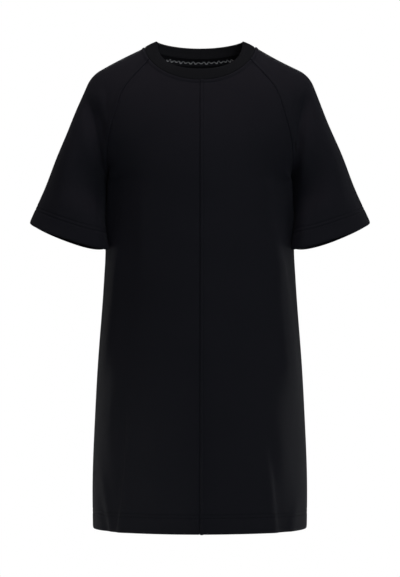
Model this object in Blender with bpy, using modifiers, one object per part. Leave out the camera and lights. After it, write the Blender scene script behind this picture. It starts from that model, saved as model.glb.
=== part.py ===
"""A short-sleeved sweatshirt dress, hollow, in the shape it has when it is worn.

Units are metres. +Z is up, -Y is the front, +X is the wearer's left. The origin is midway between
the two points where the neckband's seam crosses the tops of the shoulders.

The cloth's outer side is made of rows. From the hem to the underarm a row is a level ring. From the
underarm to the neck a row runs round the yoke, over both sleeves, as a round-yoke knitter would work it.
Each quarter of a row is one cubic curve from the middle of the front or back to the side, and the
raglan seam is the share of that curve at which the panel ends and the sleeve begins.
"""

import math

import bpy
import numpy as np

# ---------------------------------------------------------------- driving sizes

KNIT = 0.0015  # thickness of one layer of the sweatshirt knit
RIB = 0.0028  # thickness of the folded neckband
SEAM_GAP = 0.0003  # clear space between pieces at a seam
HEM_TURN = 0.034  # depth of the turned-up hem, body and sleeves
HEM_STEP = 0.0025  # length over which the inner side steps from two layers to one

HEM_HEIGHT = -0.864
UNDERARM_HEIGHT = -0.240
NECK_HALF_WIDTH = 0.0992  # at the neckband's seam, on top of the shoulder

SHOULDER_SLOPE = math.radians(27.9)  # below level, beside the neck
SLEEVE_SLOPE = math.radians(67.7)  # below level, along the outer fold of the sleeve
SHOULDER_LENGTH = 0.0902  # straight part, from the neckband's seam
SHOULDER_RADIUS = 0.055
SLEEVE_TOP_LENGTH = 0.3947  # neckband's seam to cuff, along the top
YOKE_TOP_LENGTH = 0.282  # the part of it that is level with the raglan seams

CUFF_INNER_HEIGHT = -0.361  # where the sleeve's underarm seam ends
CUFF_AHEAD = 0.13  # share of the body's front, ahead of its side seam, where that end lies
CUFF_DIP_INNER = 0.018  # how far the cuff's edge hangs below its two ends, as curve handles
CUFF_DIP_OUTER = 0.011
CUFF_DEPTH = 0.074  # curve handle, 4/3 of half the cuff's depth
SLEEVE_FORWARD = 0.029  # how far forward the cuff's top swings
SLEEVE_CLEARANCE = 0.0004  # between the sleeve and the body at the underarm
CUFF_CLEARANCE = 0.0012  # between them at the cuff
TUBE_SQUARED_BY = 1.0  # share of the tube over which the underarm's corner opens

CENTRE_HANDLE = 0.60  # share of the half width: how flat the front and back are
SIDE_HANDLE = 0.58  # share of the depth: how flat the sides are

BAND_TOP_HALF_WIDTH = 0.0770
BAND_TOP_RISE = 0.0108  # above the origin, at the shoulder
BAND_TOP_FRONT = (-0.0770, -0.0440)  # y and z at the middle of the front
BAND_TOP_BACK = (0.0620, 0.0035)
BAND_TOP_LEAN = 0.50  # fall of the band's folded edge towards the front, beside the shoulder
BAND_BOW = 0.0008  # how far the band rounds out between its edges
BAND_TURN = 0.35  # share of the band's height over which it turns from the cloth below it
# The band's section: share of its height, and depth under its outer side as a share of RIB.
BAND_SECTION = ((0, 0), (0.35, 0), (0.7, 0), (0.93, 0.05), (1, 0.5), (0.93, 0.95), (0.6, 1), (0, 1))

TAPE_HALF_LENGTH = 0.072
TAPE_WIDTH = 0.011
TAPE_DROP = 0.0015  # of its upper edge, below the band's seam
TAPE_THICKNESS = 0.0008

# Level rings, hem to underarm.
BODY_COLUMNS = ("height", "half_width", "front", "back")
BODY = (
    (-0.864, 0.1925, 0.1520, 0.1460),
    (-0.779, 0.1930, 0.1515, 0.1430),
    (-0.671, 0.1890, 0.1490, 0.1370),
    (-0.563, 0.1830, 0.1465, 0.1300),
    (-0.455, 0.1747, 0.1440, 0.1240),
    (-0.369, 0.1692, 0.1410, 0.1200),
    (-0.289, 0.1635, 0.1385, 0.1190),
    (-0.240, 0.1605, 0.1370, 0.1190),
)

# Yoke rows. side_x and side_z are where the row would reach the side if there were no sleeve, and
# flat is the length of the row's curve handle at the middle of the front and back.
YOKE_COLUMNS = ("rise", "front_y", "front_z", "back_y", "back_z", "side_x", "side_z", "flat")
YOKE = (
    (0.00, -0.1370, -0.2400, 0.1190, -0.2400, 0.1605, -0.2400, 0.0963),
    (0.14, -0.1359, -0.2150, 0.1190, -0.2090, 0.1700, -0.2210, 0.0958),
    (0.29, -0.1332, -0.1880, 0.1180, -0.1760, 0.1870, -0.1930, 0.0955),
    (0.42, -0.1288, -0.1650, 0.1150, -0.1480, 0.2020, -0.1550, 0.0955),
    (0.56, -0.1222, -0.1400, 0.1088, -0.1170, 0.2000, -0.1070, 0.0940),
    (0.72, -0.1128, -0.1120, 0.0992, -0.0800, 0.1770, -0.0620, 0.0870),
    (0.87, -0.1020, -0.0860, 0.0880, -0.0450, 0.1370, -0.0290, 0.0745),
    (1.00, -0.0905, -0.0649, 0.0770, -0.0145, 0.0992, 0.0000, 0.0609),
)

# Raglan seams. share is where the seam cuts the row, fold is how sharply the sleeve turns back from
# the panel there, reach and swell are what the sleeve's curve adds at the seam and at its top.
SEAM_COLUMNS = ("rise", "share", "fold", "reach", "swell")
FRONT_SEAM = (
    (0.00, 1.000, 150.0, 0.095, 0.101),
    (0.14, 0.845, 105.0, 0.060, 0.087),
    (0.29, 0.700, 62.0, 0.034, 0.058),
    (0.42, 0.608, 26.0, 0.014, 0.030),
    (0.56, 0.565, 5.0, 0.006, 0.011),
    (0.72, 0.582, 0.0, 0.004, 0.006),
    (0.87, 0.633, 0.0, 0.003, 0.002),
    (1.00, 0.700, 0.0, 0.000, 0.000),
)
BACK_SEAM = (
    (0.00, 1.000, 150.0, 0.095, 0.101),
    (0.14, 0.855, 105.0, 0.060, 0.088),
    (0.29, 0.720, 62.0, 0.037, 0.062),
    (0.42, 0.630, 28.0, 0.018, 0.035),
    (0.56, 0.590, 6.0, 0.008, 0.015),
    (0.72, 0.605, 0.0, 0.005, 0.008),
    (0.87, 0.660, 0.0, 0.003, 0.003),
    (1.00, 0.730, 0.0, 0.000, 0.000),
)
# How the rows lean where they cross the top of the shoulder: rise per metre towards the back.
SHOULDER_LEAN_COLUMNS = ("rise", "front", "back")
SHOULDER_LEAN = (
    (0.00, 0.00, 0.00),
    (0.56, 0.00, 0.00),
    (0.80, 0.12, 0.00),
    (1.00, 0.50, 0.00),
)

# The largest folds, as seen from the front or back: a line from start to end, bowed sideways, with
# the width and height of its soft ridge (or trough, if the height is negative).
FOLD_COLUMNS = ("piece", "start_x", "start_z", "end_x", "end_z", "bow", "width", "height")
FOLDS = (
    ("sleeve_front", 0.196, -0.078, 0.168, -0.210, 0.004, 0.013, -0.0080),
    ("sleeve_front", -0.203, -0.085, -0.168, -0.215, -0.006, 0.013, -0.0100),
    ("sleeve_back", 0.198, -0.082, 0.168, -0.205, 0.004, 0.014, -0.0080),
    ("sleeve_back", -0.198, -0.086, -0.168, -0.205, -0.004, 0.014, -0.0080),
    ("front", 0.130, -0.290, 0.182, -0.680, 0.006, 0.018, 0.0080),
    ("front", -0.148, -0.300, -0.184, -0.620, -0.004, 0.018, 0.0070),
    ("front", -0.134, -0.630, -0.152, -0.990, 0.004, 0.017, 0.0080),
    ("front", 0.126, -0.700, 0.143, -1.000, -0.003, 0.017, 0.0065),
    ("back", 0.120, -0.380, 0.148, -1.040, 0.006, 0.024, 0.0090),
    ("back", -0.128, -0.330, -0.150, -1.040, -0.006, 0.024, 0.0090),
    ("back", 0.048, -0.520, 0.060, -1.100, 0.004, 0.026, 0.0060),
    ("back", -0.040, -0.560, -0.054, -1.140, -0.004, 0.026, 0.0060),
)
FOLD_FADE = 0.3  # share of a fold's length over which it rises and dies away
SEAM_CALM = 0.12  # share of a piece's half width, beside its seam, where folds die away

SEAM_STRIP = 0.02  # share of a half piece in the narrow column beside its seam
HALF_PANEL_COLUMNS = 13
SLEEVE_HALF_COLUMNS = 12
BODY_ROWS = 13  # from the top of the hem's turn to the underarm
YOKE_ROWS = 12
SLEEVE_ROWS = 5  # from the underarm to the hem's turn
BAND_COLUMNS = 64
TAPE_COLUMNS = 18

BLACK_KNIT = (0.0075, 0.0078, 0.0090, 1.0)
BLACK_RIB = (0.0080, 0.0080, 0.0088, 1.0)
BLACK_TAPE = (0.0100, 0.0100, 0.0110, 1.0)
CLOTH_ROUGHNESS = 0.85

COLLECTION = "sweatshirt dress"
SAMPLES = 65  # points along a curve when it is measured
STEP = 1e-3  # share of a row or level, for slopes


# ---------------------------------------------------------------- curves

def column(table, names, name):
    """One named column of a table."""
    return np.array([row[names.index(name)] for row in table], float)


def spline(knots, values, at):
    """Natural cubic curve through the values, read at any points between the knots."""
    knots = np.asarray(knots, float)
    values = np.asarray(values, float)
    gaps = np.diff(knots)
    slopes = np.diff(values) / gaps
    count = len(knots)
    system = np.eye(count)
    right = np.zeros(count)
    for i in range(1, count - 1):
        system[i, i - 1:i + 2] = gaps[i - 1], 2 * (gaps[i - 1] + gaps[i]), gaps[i]
        right[i] = 6 * (slopes[i] - slopes[i - 1])
    bend = np.linalg.solve(system, right)
    at = np.asarray(at, float)
    i = np.clip(np.searchsorted(knots, at, side="right") - 1, 0, count - 2)
    left, over = knots[i + 1] - at, at - knots[i]
    gap = gaps[i]
    return (
        bend[i] * left ** 3 / (6 * gap)
        + bend[i + 1] * over ** 3 / (6 * gap)
        + (values[i] / gap - bend[i] * gap / 6) * left
        + (values[i + 1] / gap - bend[i + 1] * gap / 6) * over
    )


def reader(table, names):
    """A function that reads any named column of a table at any value of its first column."""
    order = np.argsort(column(table, names, names[0]))
    knots = column(table, names, names[0])[order]

    def read(name, at):
        return spline(knots, column(table, names, name)[order], at)

    return read


body = reader(BODY, BODY_COLUMNS)
yoke = reader(YOKE, YOKE_COLUMNS)
seams = {"front": reader(FRONT_SEAM, SEAM_COLUMNS), "back": reader(BACK_SEAM, SEAM_COLUMNS)}
lean = reader(SHOULDER_LEAN, SHOULDER_LEAN_COLUMNS)


def stack(x, y, z):
    """Points from coordinates of any matching shapes."""
    return np.stack(np.broadcast_arrays(x, y, z), axis=-1)


def cubic(controls, share):
    """Points of a cubic curve at a share of its length in parameter, from 0 to 1."""
    t = np.asarray(share, float)[..., None]
    a, b, c, d = controls
    s = 1 - t
    return s ** 3 * a + 3 * s * s * t * b + 3 * s * t * t * c + t ** 3 * d


def split(controls, share):
    """The two parts of a cubic curve, before and after a share."""
    a, b, c, d = controls
    t = np.asarray(share, float)[..., None]
    ab, bc, cd = a + (b - a) * t, b + (c - b) * t, c + (d - c) * t
    abc, bcd = ab + (bc - ab) * t, bc + (cd - bc) * t
    middle = abc + (bcd - abc) * t
    return (a, ab, abc, middle), (middle, bcd, cd, d)


# ---------------------------------------------------------------- the garment's form, +X half

def shoulder_line(length):
    """x and z of the sleeve's top line at a length from the neckband's seam."""
    length = np.asarray(length, float)
    turn = SLEEVE_SLOPE - SHOULDER_SLOPE
    arc_length = SHOULDER_RADIUS * turn
    straight = np.clip(length, 0, SHOULDER_LENGTH)
    bent = np.clip(length - SHOULDER_LENGTH, 0, arc_length) / SHOULDER_RADIUS
    after = np.clip(length - SHOULDER_LENGTH - arc_length, 0, None)
    slope = SHOULDER_SLOPE + bent
    x = (
        NECK_HALF_WIDTH
        + straight * math.cos(SHOULDER_SLOPE)
        + SHOULDER_RADIUS * (np.sin(slope) - math.sin(SHOULDER_SLOPE))
        + after * math.cos(SLEEVE_SLOPE)
    )
    z = (
        -straight * math.sin(SHOULDER_SLOPE)
        + SHOULDER_RADIUS * (np.cos(slope) - math.cos(SHOULDER_SLOPE))
        - after * math.sin(SLEEVE_SLOPE)
    )
    return x, z


def quarter_row(face, level):
    """The curve from the middle of the face to the side. Levels: -1 hem, 0 underarm, 1 neck."""
    level = np.asarray(level, float)
    low = np.clip(level, -1, 0)
    rise = np.clip(level, 0, 1)
    height = UNDERARM_HEIGHT + low * (UNDERARM_HEIGHT - HEM_HEIGHT)
    below = level < 0
    sign = -1 if face == "front" else 1
    centre_y = np.where(below, sign * body(face, height), yoke(face + "_y", rise))
    centre_z = np.where(below, height, yoke(face + "_z", rise))
    side_x = np.where(below, body("half_width", height), yoke("side_x", rise))
    side_z = np.where(below, height, yoke("side_z", rise))
    centre = stack(0.0, centre_y, centre_z)
    side = stack(side_x, 0.0, side_z)
    along = stack(np.where(below, CENTRE_HANDLE * side_x, yoke("flat", rise)), 0.0, 0.0)
    tilt = np.where(below, 0.0, lean(face, rise))
    towards = stack(0.0, SIDE_HANDLE * centre_y, -SIDE_HANDLE * np.abs(centre_y) * tilt * -sign)
    return centre, centre + along, side + towards, side


def seam_share(face, level):
    """Where the panel ends on its row: at the raglan seam above the underarm, else at the side."""
    rise = np.clip(level, 0, 1)
    return np.where(np.asarray(level) <= 0, 1.0, np.clip(seams[face]("share", rise), 0, 1))


def panel_point(face, level, share):
    """A point of the front or back panel. share runs from the middle to the seam."""
    return cubic(quarter_row(face, level), seam_share(face, level) * share)


def sleeve_quarter(face, along):
    """The sleeve's curve from its seam to its top. along: 0 neck, 1 underarm, 2 cuff."""
    along = np.asarray(along, float)
    rise = np.clip(1 - along, 0, 1)
    down = np.clip(along - 1, 0, 1)
    upper = (along <= 1)[..., None]
    sign = -1 if face == "front" else 1
    forward = -SLEEVE_FORWARD * down ** 2
    top_length = along * YOKE_TOP_LENGTH * (along <= 1) + (along > 1) * (
        YOKE_TOP_LENGTH + down * (SLEEVE_TOP_LENGTH - YOKE_TOP_LENGTH)
    )
    top_x, top_z = shoulder_line(top_length)
    top = stack(top_x, forward, top_z)

    # Above the underarm the curve starts at the raglan seam, turned back from the panel.
    _, (seam, seam_handle, side_handle, side) = split(
        quarter_row(face, rise), seam_share(face, rise)
    )
    natural = seam_handle - seam
    length = np.linalg.norm(natural, axis=-1)
    clear = length > 1e-5
    heading = np.where(clear, np.arctan2(-sign * natural[..., 1], natural[..., 0]), math.pi / 2)
    climb = np.where(clear, natural[..., 2] / np.maximum(length, 1e-5), 0.0)
    fold = np.radians(seams[face]("fold", rise))
    turn = heading - fold
    reach = length + seams[face]("reach", rise)
    level_reach = reach * np.sqrt(1 - np.clip(climb, -0.9, 0.9) ** 2)
    start = stack(
        level_reach * np.cos(turn), -sign * level_reach * np.sin(turn), reach * climb
    )
    end = side_handle - side + stack(0.0, sign * seams[face]("swell", rise), 0.0)
    away = SLEEVE_CLEARANCE * np.sin(fold / 2)
    seam = seam + stack(away * np.sin(heading), sign * away * np.cos(heading), 0.0)

    # Below it the sleeve is a tube, whose own underarm seam lies along the body, just clear of it.
    height = UNDERARM_HEIGHT + (CUFF_INNER_HEIGHT - UNDERARM_HEIGHT) * down
    level = (height - UNDERARM_HEIGHT) / (UNDERARM_HEIGHT - HEM_HEIGHT)
    share = 1 - CUFF_AHEAD * down
    on_body = cubic(quarter_row("front", level), share)
    before = cubic(quarter_row("front", level), share - STEP)
    aim = np.arctan2(on_body[..., 1] - before[..., 1], on_body[..., 0] - before[..., 0])
    clearance = SLEEVE_CLEARANCE + (CUFF_CLEARANCE - SLEEVE_CLEARANCE) * down
    tube_seam = on_body + stack(clearance * np.sin(aim), -clearance * np.cos(aim), 0.0)
    square = np.clip(down / TUBE_SQUARED_BY, 0, 1)
    square = square * square * (3 - 2 * square)
    first_turn = math.pi / 2 - np.radians(seams[face]("fold", 0.0))
    tube_turn = first_turn * (1 - square) - math.pi / 2 * square + sign * (math.pi / 2 - aim)
    first_reach = seams[face]("reach", 0.0)
    first_swell = seams[face]("swell", 0.0)
    tube_reach = first_reach + (CUFF_DEPTH - first_reach) * down
    tube_start = stack(
        tube_reach * np.cos(tube_turn),
        -sign * tube_reach * np.sin(tube_turn),
        -CUFF_DIP_INNER * down,
    )
    tube_end = stack(
        0.0, sign * (first_swell + (CUFF_DEPTH - first_swell) * down), -CUFF_DIP_OUTER * down
    )
    seam = np.where(upper, seam, tube_seam)
    start = np.where(upper, start, tube_start)
    end = np.where(upper, end, tube_end)
    return seam, seam + start, top + end, top


def panel(face, level, across):
    """The front or back. across runs from -1 at the wearer's right seam to 1 at the left."""
    half = cubic(quarter_row(face, level), seam_share(face, level) * np.abs(across))
    return half * stack(np.where(across < 0, -1.0, 1.0), 1.0, 1.0)


def sleeve(along, across):
    """The left sleeve. across runs from -1 at the front seam over the top to 1 at the back one."""
    front = cubic(sleeve_quarter("front", along), 1 - np.abs(across))
    back = cubic(sleeve_quarter("back", along), 1 - np.abs(across))
    return np.where((across <= 0)[..., None], front, back)


def unit(vectors):
    """The vectors at length 1."""
    return vectors / np.maximum(np.linalg.norm(vectors, axis=-1, keepdims=True), 1e-12)


def crossing(surface, first, second):
    """Unit normals of a surface, by differences along its second and then its first value."""
    along_second = surface(first, np.minimum(second + STEP, 1)) - surface(
        first, np.maximum(second - STEP, -1)
    )
    along_first = surface(first + STEP, second) - surface(first - STEP, second)
    return unit(np.cross(along_second, along_first))


def panel_normal(face, level, across):
    """The outward direction of the front or back."""
    normal = crossing(lambda a, b: panel(face, a, b), level, across)
    return normal if face == "front" else -normal


def sleeve_normal(along, across):
    """The outward direction of the left sleeve."""
    return -crossing(sleeve, along, across)


# ---------------------------------------------------------------- folds

def soft_folds(piece, points):
    """How far the cloth stands out (or in, if negative) at each point, from the table of folds."""
    total = np.zeros(points.shape[:-1])
    for row in FOLDS:
        fold = dict(zip(FOLD_COLUMNS, row))
        if fold["piece"] != piece:
            continue
        start = np.array((fold["start_x"], fold["start_z"]))
        run = np.array((fold["end_x"], fold["end_z"])) - start
        length = np.hypot(*run)
        offset = points[..., (0, 2)] - start
        share = offset @ run / length ** 2
        bow = 4 * fold["bow"] * share * (1 - share)
        aside = (offset[..., 0] * run[1] - offset[..., 1] * run[0]) / length - bow
        ends = np.clip(np.minimum(share, 1 - share) / FOLD_FADE, 0, 1)
        ends = ends * ends * (3 - 2 * ends)
        total += fold["height"] * np.exp(-((aside / fold["width"]) ** 2)) * ends
    return total


def folded_panel(face, level, across):
    """Points of a panel with its folds."""
    points = panel(face, level, across)
    normal = panel_normal(face, level, across)
    facing = np.abs(normal[..., 1])
    near_seam = np.clip((1 - np.abs(across)) / SEAM_CALM, 0, 1)
    out = soft_folds(face, points) * facing * near_seam
    return points + out[..., None] * normal


def folded_sleeve(side, along, across):
    """Points of a sleeve with its folds. side is 1 for the wearer's left, -1 for the right."""
    mirror = np.array((side, 1.0, 1.0))
    points = sleeve(along, across)
    normal = sleeve_normal(along, across)
    facing = np.abs(normal[..., 1])
    near_seam = np.clip((1 - np.abs(across)) / SEAM_CALM, 0, 1)
    front = soft_folds("sleeve_front", points * mirror)
    back = soft_folds("sleeve_back", points * mirror)
    out = np.where(across < 0, front, back) * facing * near_seam
    return (points + out[..., None] * normal) * mirror


# ---------------------------------------------------------------- solids

def pulled_in(grid, first_column, last_column, last_row):
    """The grid with the named edges moved half a seam gap towards the row or column beside them."""
    grid = grid.copy()

    def pull(edge, inside):
        run = inside - edge
        return edge + run * (SEAM_GAP / 2 / np.linalg.norm(run, axis=-1, keepdims=True))

    if first_column:
        grid[:, 0] = pull(grid[:, 0], grid[:, 1])
    if last_column:
        grid[:, -1] = pull(grid[:, -1], grid[:, -2])
    if last_row:
        grid[-1] = pull(grid[-1], grid[-2])
    return grid


def knit_material(name, colour):
    """A dull cloth finish."""
    material = bpy.data.materials.new(name)
    material.use_nodes = True
    shader = material.node_tree.nodes["Principled BSDF"]
    shader.inputs["Base Color"].default_value = colour
    shader.inputs["Roughness"].default_value = CLOTH_ROUGHNESS
    return material


def add_object(name, points, faces, material):
    """A smooth-shaded mesh object in the dress's collection."""
    mesh = bpy.data.meshes.new(name)
    mesh.from_pydata([tuple(point) for point in points], [], faces)
    mesh.materials.append(material)
    mesh.shade_smooth()
    thing = bpy.data.objects.new(name, mesh)
    bpy.data.collections[COLLECTION].objects.link(thing)
    return thing


def thicken(thing, double_rows, columns):
    """A wall under the outer surface: one layer, and two over the first rows, the turned hem."""
    double = double_rows * columns
    layers = thing.vertex_groups.new(name="layers")
    layers.add(list(range(double)), 1.0, "REPLACE")
    layers.add(list(range(double, len(thing.data.vertices))), 0.5, "REPLACE")
    wall = thing.modifiers.new("wall", "SOLIDIFY")
    wall.thickness = 2 * KNIT
    wall.offset = -1
    wall.vertex_group = layers.name


def cloth(name, grid, material, flip):
    """A wall of cloth on a grid of rows, the hem's two rows first."""
    rows, columns = grid.shape[:2]
    faces = []
    for r in range(rows - 1):
        for c in range(columns - 1):
            a = r * columns + c
            quad = (a, a + 1, a + columns + 1, a + columns)
            faces.append(quad[::-1] if flip else quad)
    thing = add_object(name, grid.reshape(-1, 3), faces, material)
    thicken(thing, 2, columns)
    return thing


def seamed(columns):
    """Columns from 0 to 1 with one more close to the seam, so that the wall leaves it squarely."""
    return np.insert(columns, len(columns) - 1, 1 - SEAM_STRIP)


def half_levels():
    """Levels of the panels' rows: hem, top of its turn, the step, the body and the yoke."""
    body_length = UNDERARM_HEIGHT - HEM_HEIGHT
    turn = -1 + HEM_TURN / body_length
    step = turn + HEM_STEP / body_length
    return np.concatenate((
        (-1.0, turn),
        np.linspace(step, 0, BODY_ROWS + 1),
        seamed(np.linspace(0, 1, YOKE_ROWS + 1))[1:],
    ))


def make_panels(material):
    """Two front halves and a whole back."""
    half = seamed(np.linspace(0, 1, HALF_PANEL_COLUMNS + 1))
    levels = half_levels()[:, None]
    for name, across in (("front_left", half), ("front_right", -half)):
        grid = pulled_in(folded_panel("front", levels, across[None, :]), True, True, True)
        cloth(name, grid, material, flip=name == "front_right")
    whole = np.concatenate((-half[:0:-1], half))
    grid = pulled_in(folded_panel("back", levels, whole[None, :]), True, True, True)
    cloth("back", grid, material, flip=True)


def sleeve_alongs():
    """Places of the sleeve's rows along it: cuff, top of its turn, the step, the tube and the yoke."""
    tube_length = SLEEVE_TOP_LENGTH - YOKE_TOP_LENGTH
    turn = 2 - HEM_TURN / tube_length
    step = turn - HEM_STEP / tube_length
    return np.concatenate((
        (2.0, turn),
        np.linspace(step, 1, SLEEVE_ROWS + 1),
        1 - seamed(np.linspace(0, 1, YOKE_ROWS + 1))[1:],
    ))


def make_sleeve(side, material):
    """A sleeve: a closed tube from the cuff to the underarm, then open as far as the neck."""
    alongs = sleeve_alongs()
    tube_rows = 2 + SLEEVE_ROWS + 1
    half = seamed(np.linspace(0, 1, SLEEVE_HALF_COLUMNS + 1))
    across = np.concatenate((-half[:0:-1], half))
    grid = folded_sleeve(side, alongs[:, None], across[None, :])
    grid[tube_rows:] = pulled_in(grid[tube_rows:], True, True, True)
    rows, columns = grid.shape[:2]
    ring = columns - 1
    tube = grid[:tube_rows, :ring].reshape(-1, 3)
    points = np.concatenate((tube, grid[tube_rows:].reshape(-1, 3)))

    def index(r, c):
        if r < tube_rows:
            return r * ring + c % ring
        return len(tube) + (r - tube_rows) * columns + c

    faces = []
    for r in range(rows - 1):
        for c in range(ring):
            quad = (index(r, c), index(r, c + 1), index(r + 1, c + 1), index(r + 1, c))
            faces.append(quad if side > 0 else quad[::-1])
    name = "sleeve_left" if side > 0 else "sleeve_right"
    thing = add_object(name, points, faces, material)
    thicken(thing, 2, ring)


def neck_seam(around):
    """The neckband's seam. around: 0 middle of the front, 0.25 left, 0.5 back, 0.75 right."""
    turned = np.mod(around, 1.0)
    half = np.where(turned > 0.5, 1 - turned, turned)
    side = np.where(turned > 0.5, -1.0, 1.0)
    front = cubic(quarter_row("front", np.ones_like(half)), half * 4)
    back = cubic(quarter_row("back", np.ones_like(half)), (0.5 - half) * 4)
    return np.where((half <= 0.25)[..., None], front, back) * stack(side, 1.0, 1.0)


def neck_normal(around):
    """The outward direction of the panels and sleeves where they meet the neckband."""
    turned = np.mod(around, 1.0)
    half = np.where(turned > 0.5, 1 - turned, turned)
    mirror = stack(np.where(turned > 0.5, -1.0, 1.0), 1.0, 1.0)
    normals = []
    for face, share in (("front", half * 4), ("back", (0.5 - half) * 4)):
        seam = seam_share(face, 1.0)
        on_panel = panel_normal(face, np.ones_like(share), np.clip(share / seam, 0, 1))
        past = np.clip((share - seam) / (1 - seam), 0, 1)
        on_sleeve = sleeve_normal(np.zeros_like(share), (past - 1) * (1 if face == "front" else -1))
        normals.append(np.where((share <= seam)[..., None], on_panel, on_sleeve))
    return np.where((half <= 0.25)[..., None], normals[0], normals[1]) * mirror


def band_top(around):
    """The folded edge of the neckband, level with the seam point it stands over."""
    turned = np.mod(around, 1.0)
    half = np.where(turned > 0.5, 1 - turned, turned)
    side = np.where(turned > 0.5, -1.0, 1.0)
    quarters = []
    for middle in (BAND_TOP_FRONT, BAND_TOP_BACK):
        centre = np.array((0.0, *middle))
        end = np.array((BAND_TOP_HALF_WIDTH, 0.0, BAND_TOP_RISE))
        drop = np.array((0.0, 0.0, BAND_TOP_LEAN * abs(middle[0])))
        lean_sign = -1 if middle[0] < 0 else 0
        quarters.append((
            centre,
            centre + np.array((CENTRE_HANDLE * BAND_TOP_HALF_WIDTH, 0.0, 0.0)),
            end + np.array((0.0, SIDE_HANDLE * middle[0], 0.0)) + lean_sign * drop,
            end,
        ))
    front = cubic(quarters[0], half * 4)
    back = cubic(quarters[1], (0.5 - half) * 4)
    return np.where((half <= 0.25)[..., None], front, back) * stack(side, 1.0, 1.0)


def make_neckband(material):
    """The folded ring of rib: a flat loop section, rounded over its folded top edge."""
    around = np.arange(BAND_COLUMNS) / BAND_COLUMNS
    low, high = neck_seam(around), band_top(around)
    height = np.linalg.norm(high - low, axis=-1, keepdims=True)
    up = unit(high - low)
    out = unit(np.cross(neck_seam(around + STEP) - neck_seam(around - STEP), up))
    at_seam = neck_normal(around)
    rings = []
    for share, depth in BAND_SECTION:
        bow = BAND_BOW * 4 * share * (1 - share)
        lift = SEAM_GAP / 2 + (height - SEAM_GAP / 2) * share
        own = min(share / BAND_TURN, 1)
        into = unit(out * own + at_seam * (1 - own))
        rings.append(low + up * lift + out * bow - into * (depth * RIB))
    rings = np.array(rings)
    count = len(BAND_SECTION)
    faces = []
    for r in range(count):
        for c in range(BAND_COLUMNS):
            n = (c + 1) % BAND_COLUMNS
            s = (r + 1) % count
            faces.append((
                r * BAND_COLUMNS + c, r * BAND_COLUMNS + n, s * BAND_COLUMNS + n, s * BAND_COLUMNS + c
            ))
    add_object("neckband", rings.reshape(-1, 3), faces, material)


def make_neck_tape(material):
    """The tape along the inside of the back neck, just under the band's seam."""
    half_row = np.linalg.norm(
        np.diff(panel("back", np.ones(SAMPLES), np.linspace(0, 1, SAMPLES)), axis=0), axis=-1
    ).sum()
    reach = TAPE_HALF_LENGTH / half_row
    across = np.linspace(-reach, reach, TAPE_COLUMNS + 1)[None, :]
    yoke_length = np.linalg.norm(
        np.diff(panel("back", np.linspace(0, 1, SAMPLES), np.zeros(SAMPLES)), axis=0), axis=-1
    ).sum()
    levels = 1 - (TAPE_DROP + TAPE_WIDTH * np.array((1.0, 0.5, 0.0)))[:, None] / yoke_length
    points = folded_panel("back", levels, across)
    points = points - panel_normal("back", levels, across) * (KNIT + SEAM_GAP)
    rows, columns = points.shape[:2]
    faces = []
    for r in range(rows - 1):
        for c in range(columns - 1):
            a = r * columns + c
            faces.append((a, a + 1, a + columns + 1, a + columns))
    thing = add_object("neck_tape", points.reshape(-1, 3), faces, material)
    wall = thing.modifiers.new("wall", "SOLIDIFY")
    wall.thickness = TAPE_THICKNESS
    wall.offset = 1


def main():
    """Clear the scene and build the dress."""
    for old in list(bpy.data.objects):
        bpy.data.objects.remove(old, do_unlink=True)
    bpy.context.scene.collection.children.link(bpy.data.collections.new(COLLECTION))
    knit = knit_material("black knit", BLACK_KNIT)
    make_panels(knit)
    make_sleeve(1, knit)
    make_sleeve(-1, knit)
    make_neckband(knit_material("black rib", BLACK_RIB))
    make_neck_tape(knit_material("black tape", BLACK_TAPE))


main()
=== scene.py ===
"""The looks of a black sweatshirt dress: raglan sleeves, a centre-front seam, a folded rib neckband.

Units are metres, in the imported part's frame: +Z is up, -Y is the front and +X the wearer's left.
Each panel is a thin closed shell on the form of its solid, with the seams rolled in, the pressed seam
allowances, the rounded turned-up hems and the smaller creases that the solid leaves out.
"""

from __future__ import annotations

import logging
import math
from collections.abc import Callable, Sequence
from dataclasses import dataclass, field, replace
from enum import Enum

import bpy
import numpy as np
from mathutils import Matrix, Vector


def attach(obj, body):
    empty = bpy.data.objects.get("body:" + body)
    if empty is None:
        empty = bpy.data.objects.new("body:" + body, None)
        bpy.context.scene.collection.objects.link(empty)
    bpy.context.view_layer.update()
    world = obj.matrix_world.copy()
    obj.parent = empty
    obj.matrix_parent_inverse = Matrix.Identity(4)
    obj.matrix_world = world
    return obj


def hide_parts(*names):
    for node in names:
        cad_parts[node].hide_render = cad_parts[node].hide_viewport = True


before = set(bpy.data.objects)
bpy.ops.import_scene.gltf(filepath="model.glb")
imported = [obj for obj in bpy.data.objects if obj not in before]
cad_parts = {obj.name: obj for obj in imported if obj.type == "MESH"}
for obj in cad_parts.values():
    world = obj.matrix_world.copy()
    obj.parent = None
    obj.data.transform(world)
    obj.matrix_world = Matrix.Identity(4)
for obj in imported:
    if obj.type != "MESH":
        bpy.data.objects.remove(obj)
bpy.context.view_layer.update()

log = logging.getLogger("sweatshirt dress")

Array = np.ndarray
Surface = Callable[[Array, Array], Array]

STEP = 1e-3  # share of a row or column, for slopes
UV_NAME = "cloth"  # metres across and along the cloth


# ---------------------------------------------------------------- curves

def stack(x: Array | float, y: Array | float, z: Array | float) -> Array:
    """Points from coordinates of any matching shapes."""
    return np.stack(np.broadcast_arrays(x, y, z), axis=-1)


def unit(vectors: Array) -> Array:
    """The vectors at length 1."""
    return vectors / np.maximum(np.linalg.norm(vectors, axis=-1, keepdims=True), 1e-12)


def smooth(share: Array) -> Array:
    """A soft step from 0 to 1 as share goes from 0 to 1."""
    t = np.clip(share, 0, 1)
    return t * t * (3 - 2 * t)


def mirrored(across: Array) -> Array:
    """The factors that mirror a point of the left half to the right, where across is negative."""
    return stack(np.where(across < 0, -1.0, 1.0), 1.0, 1.0)


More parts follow.
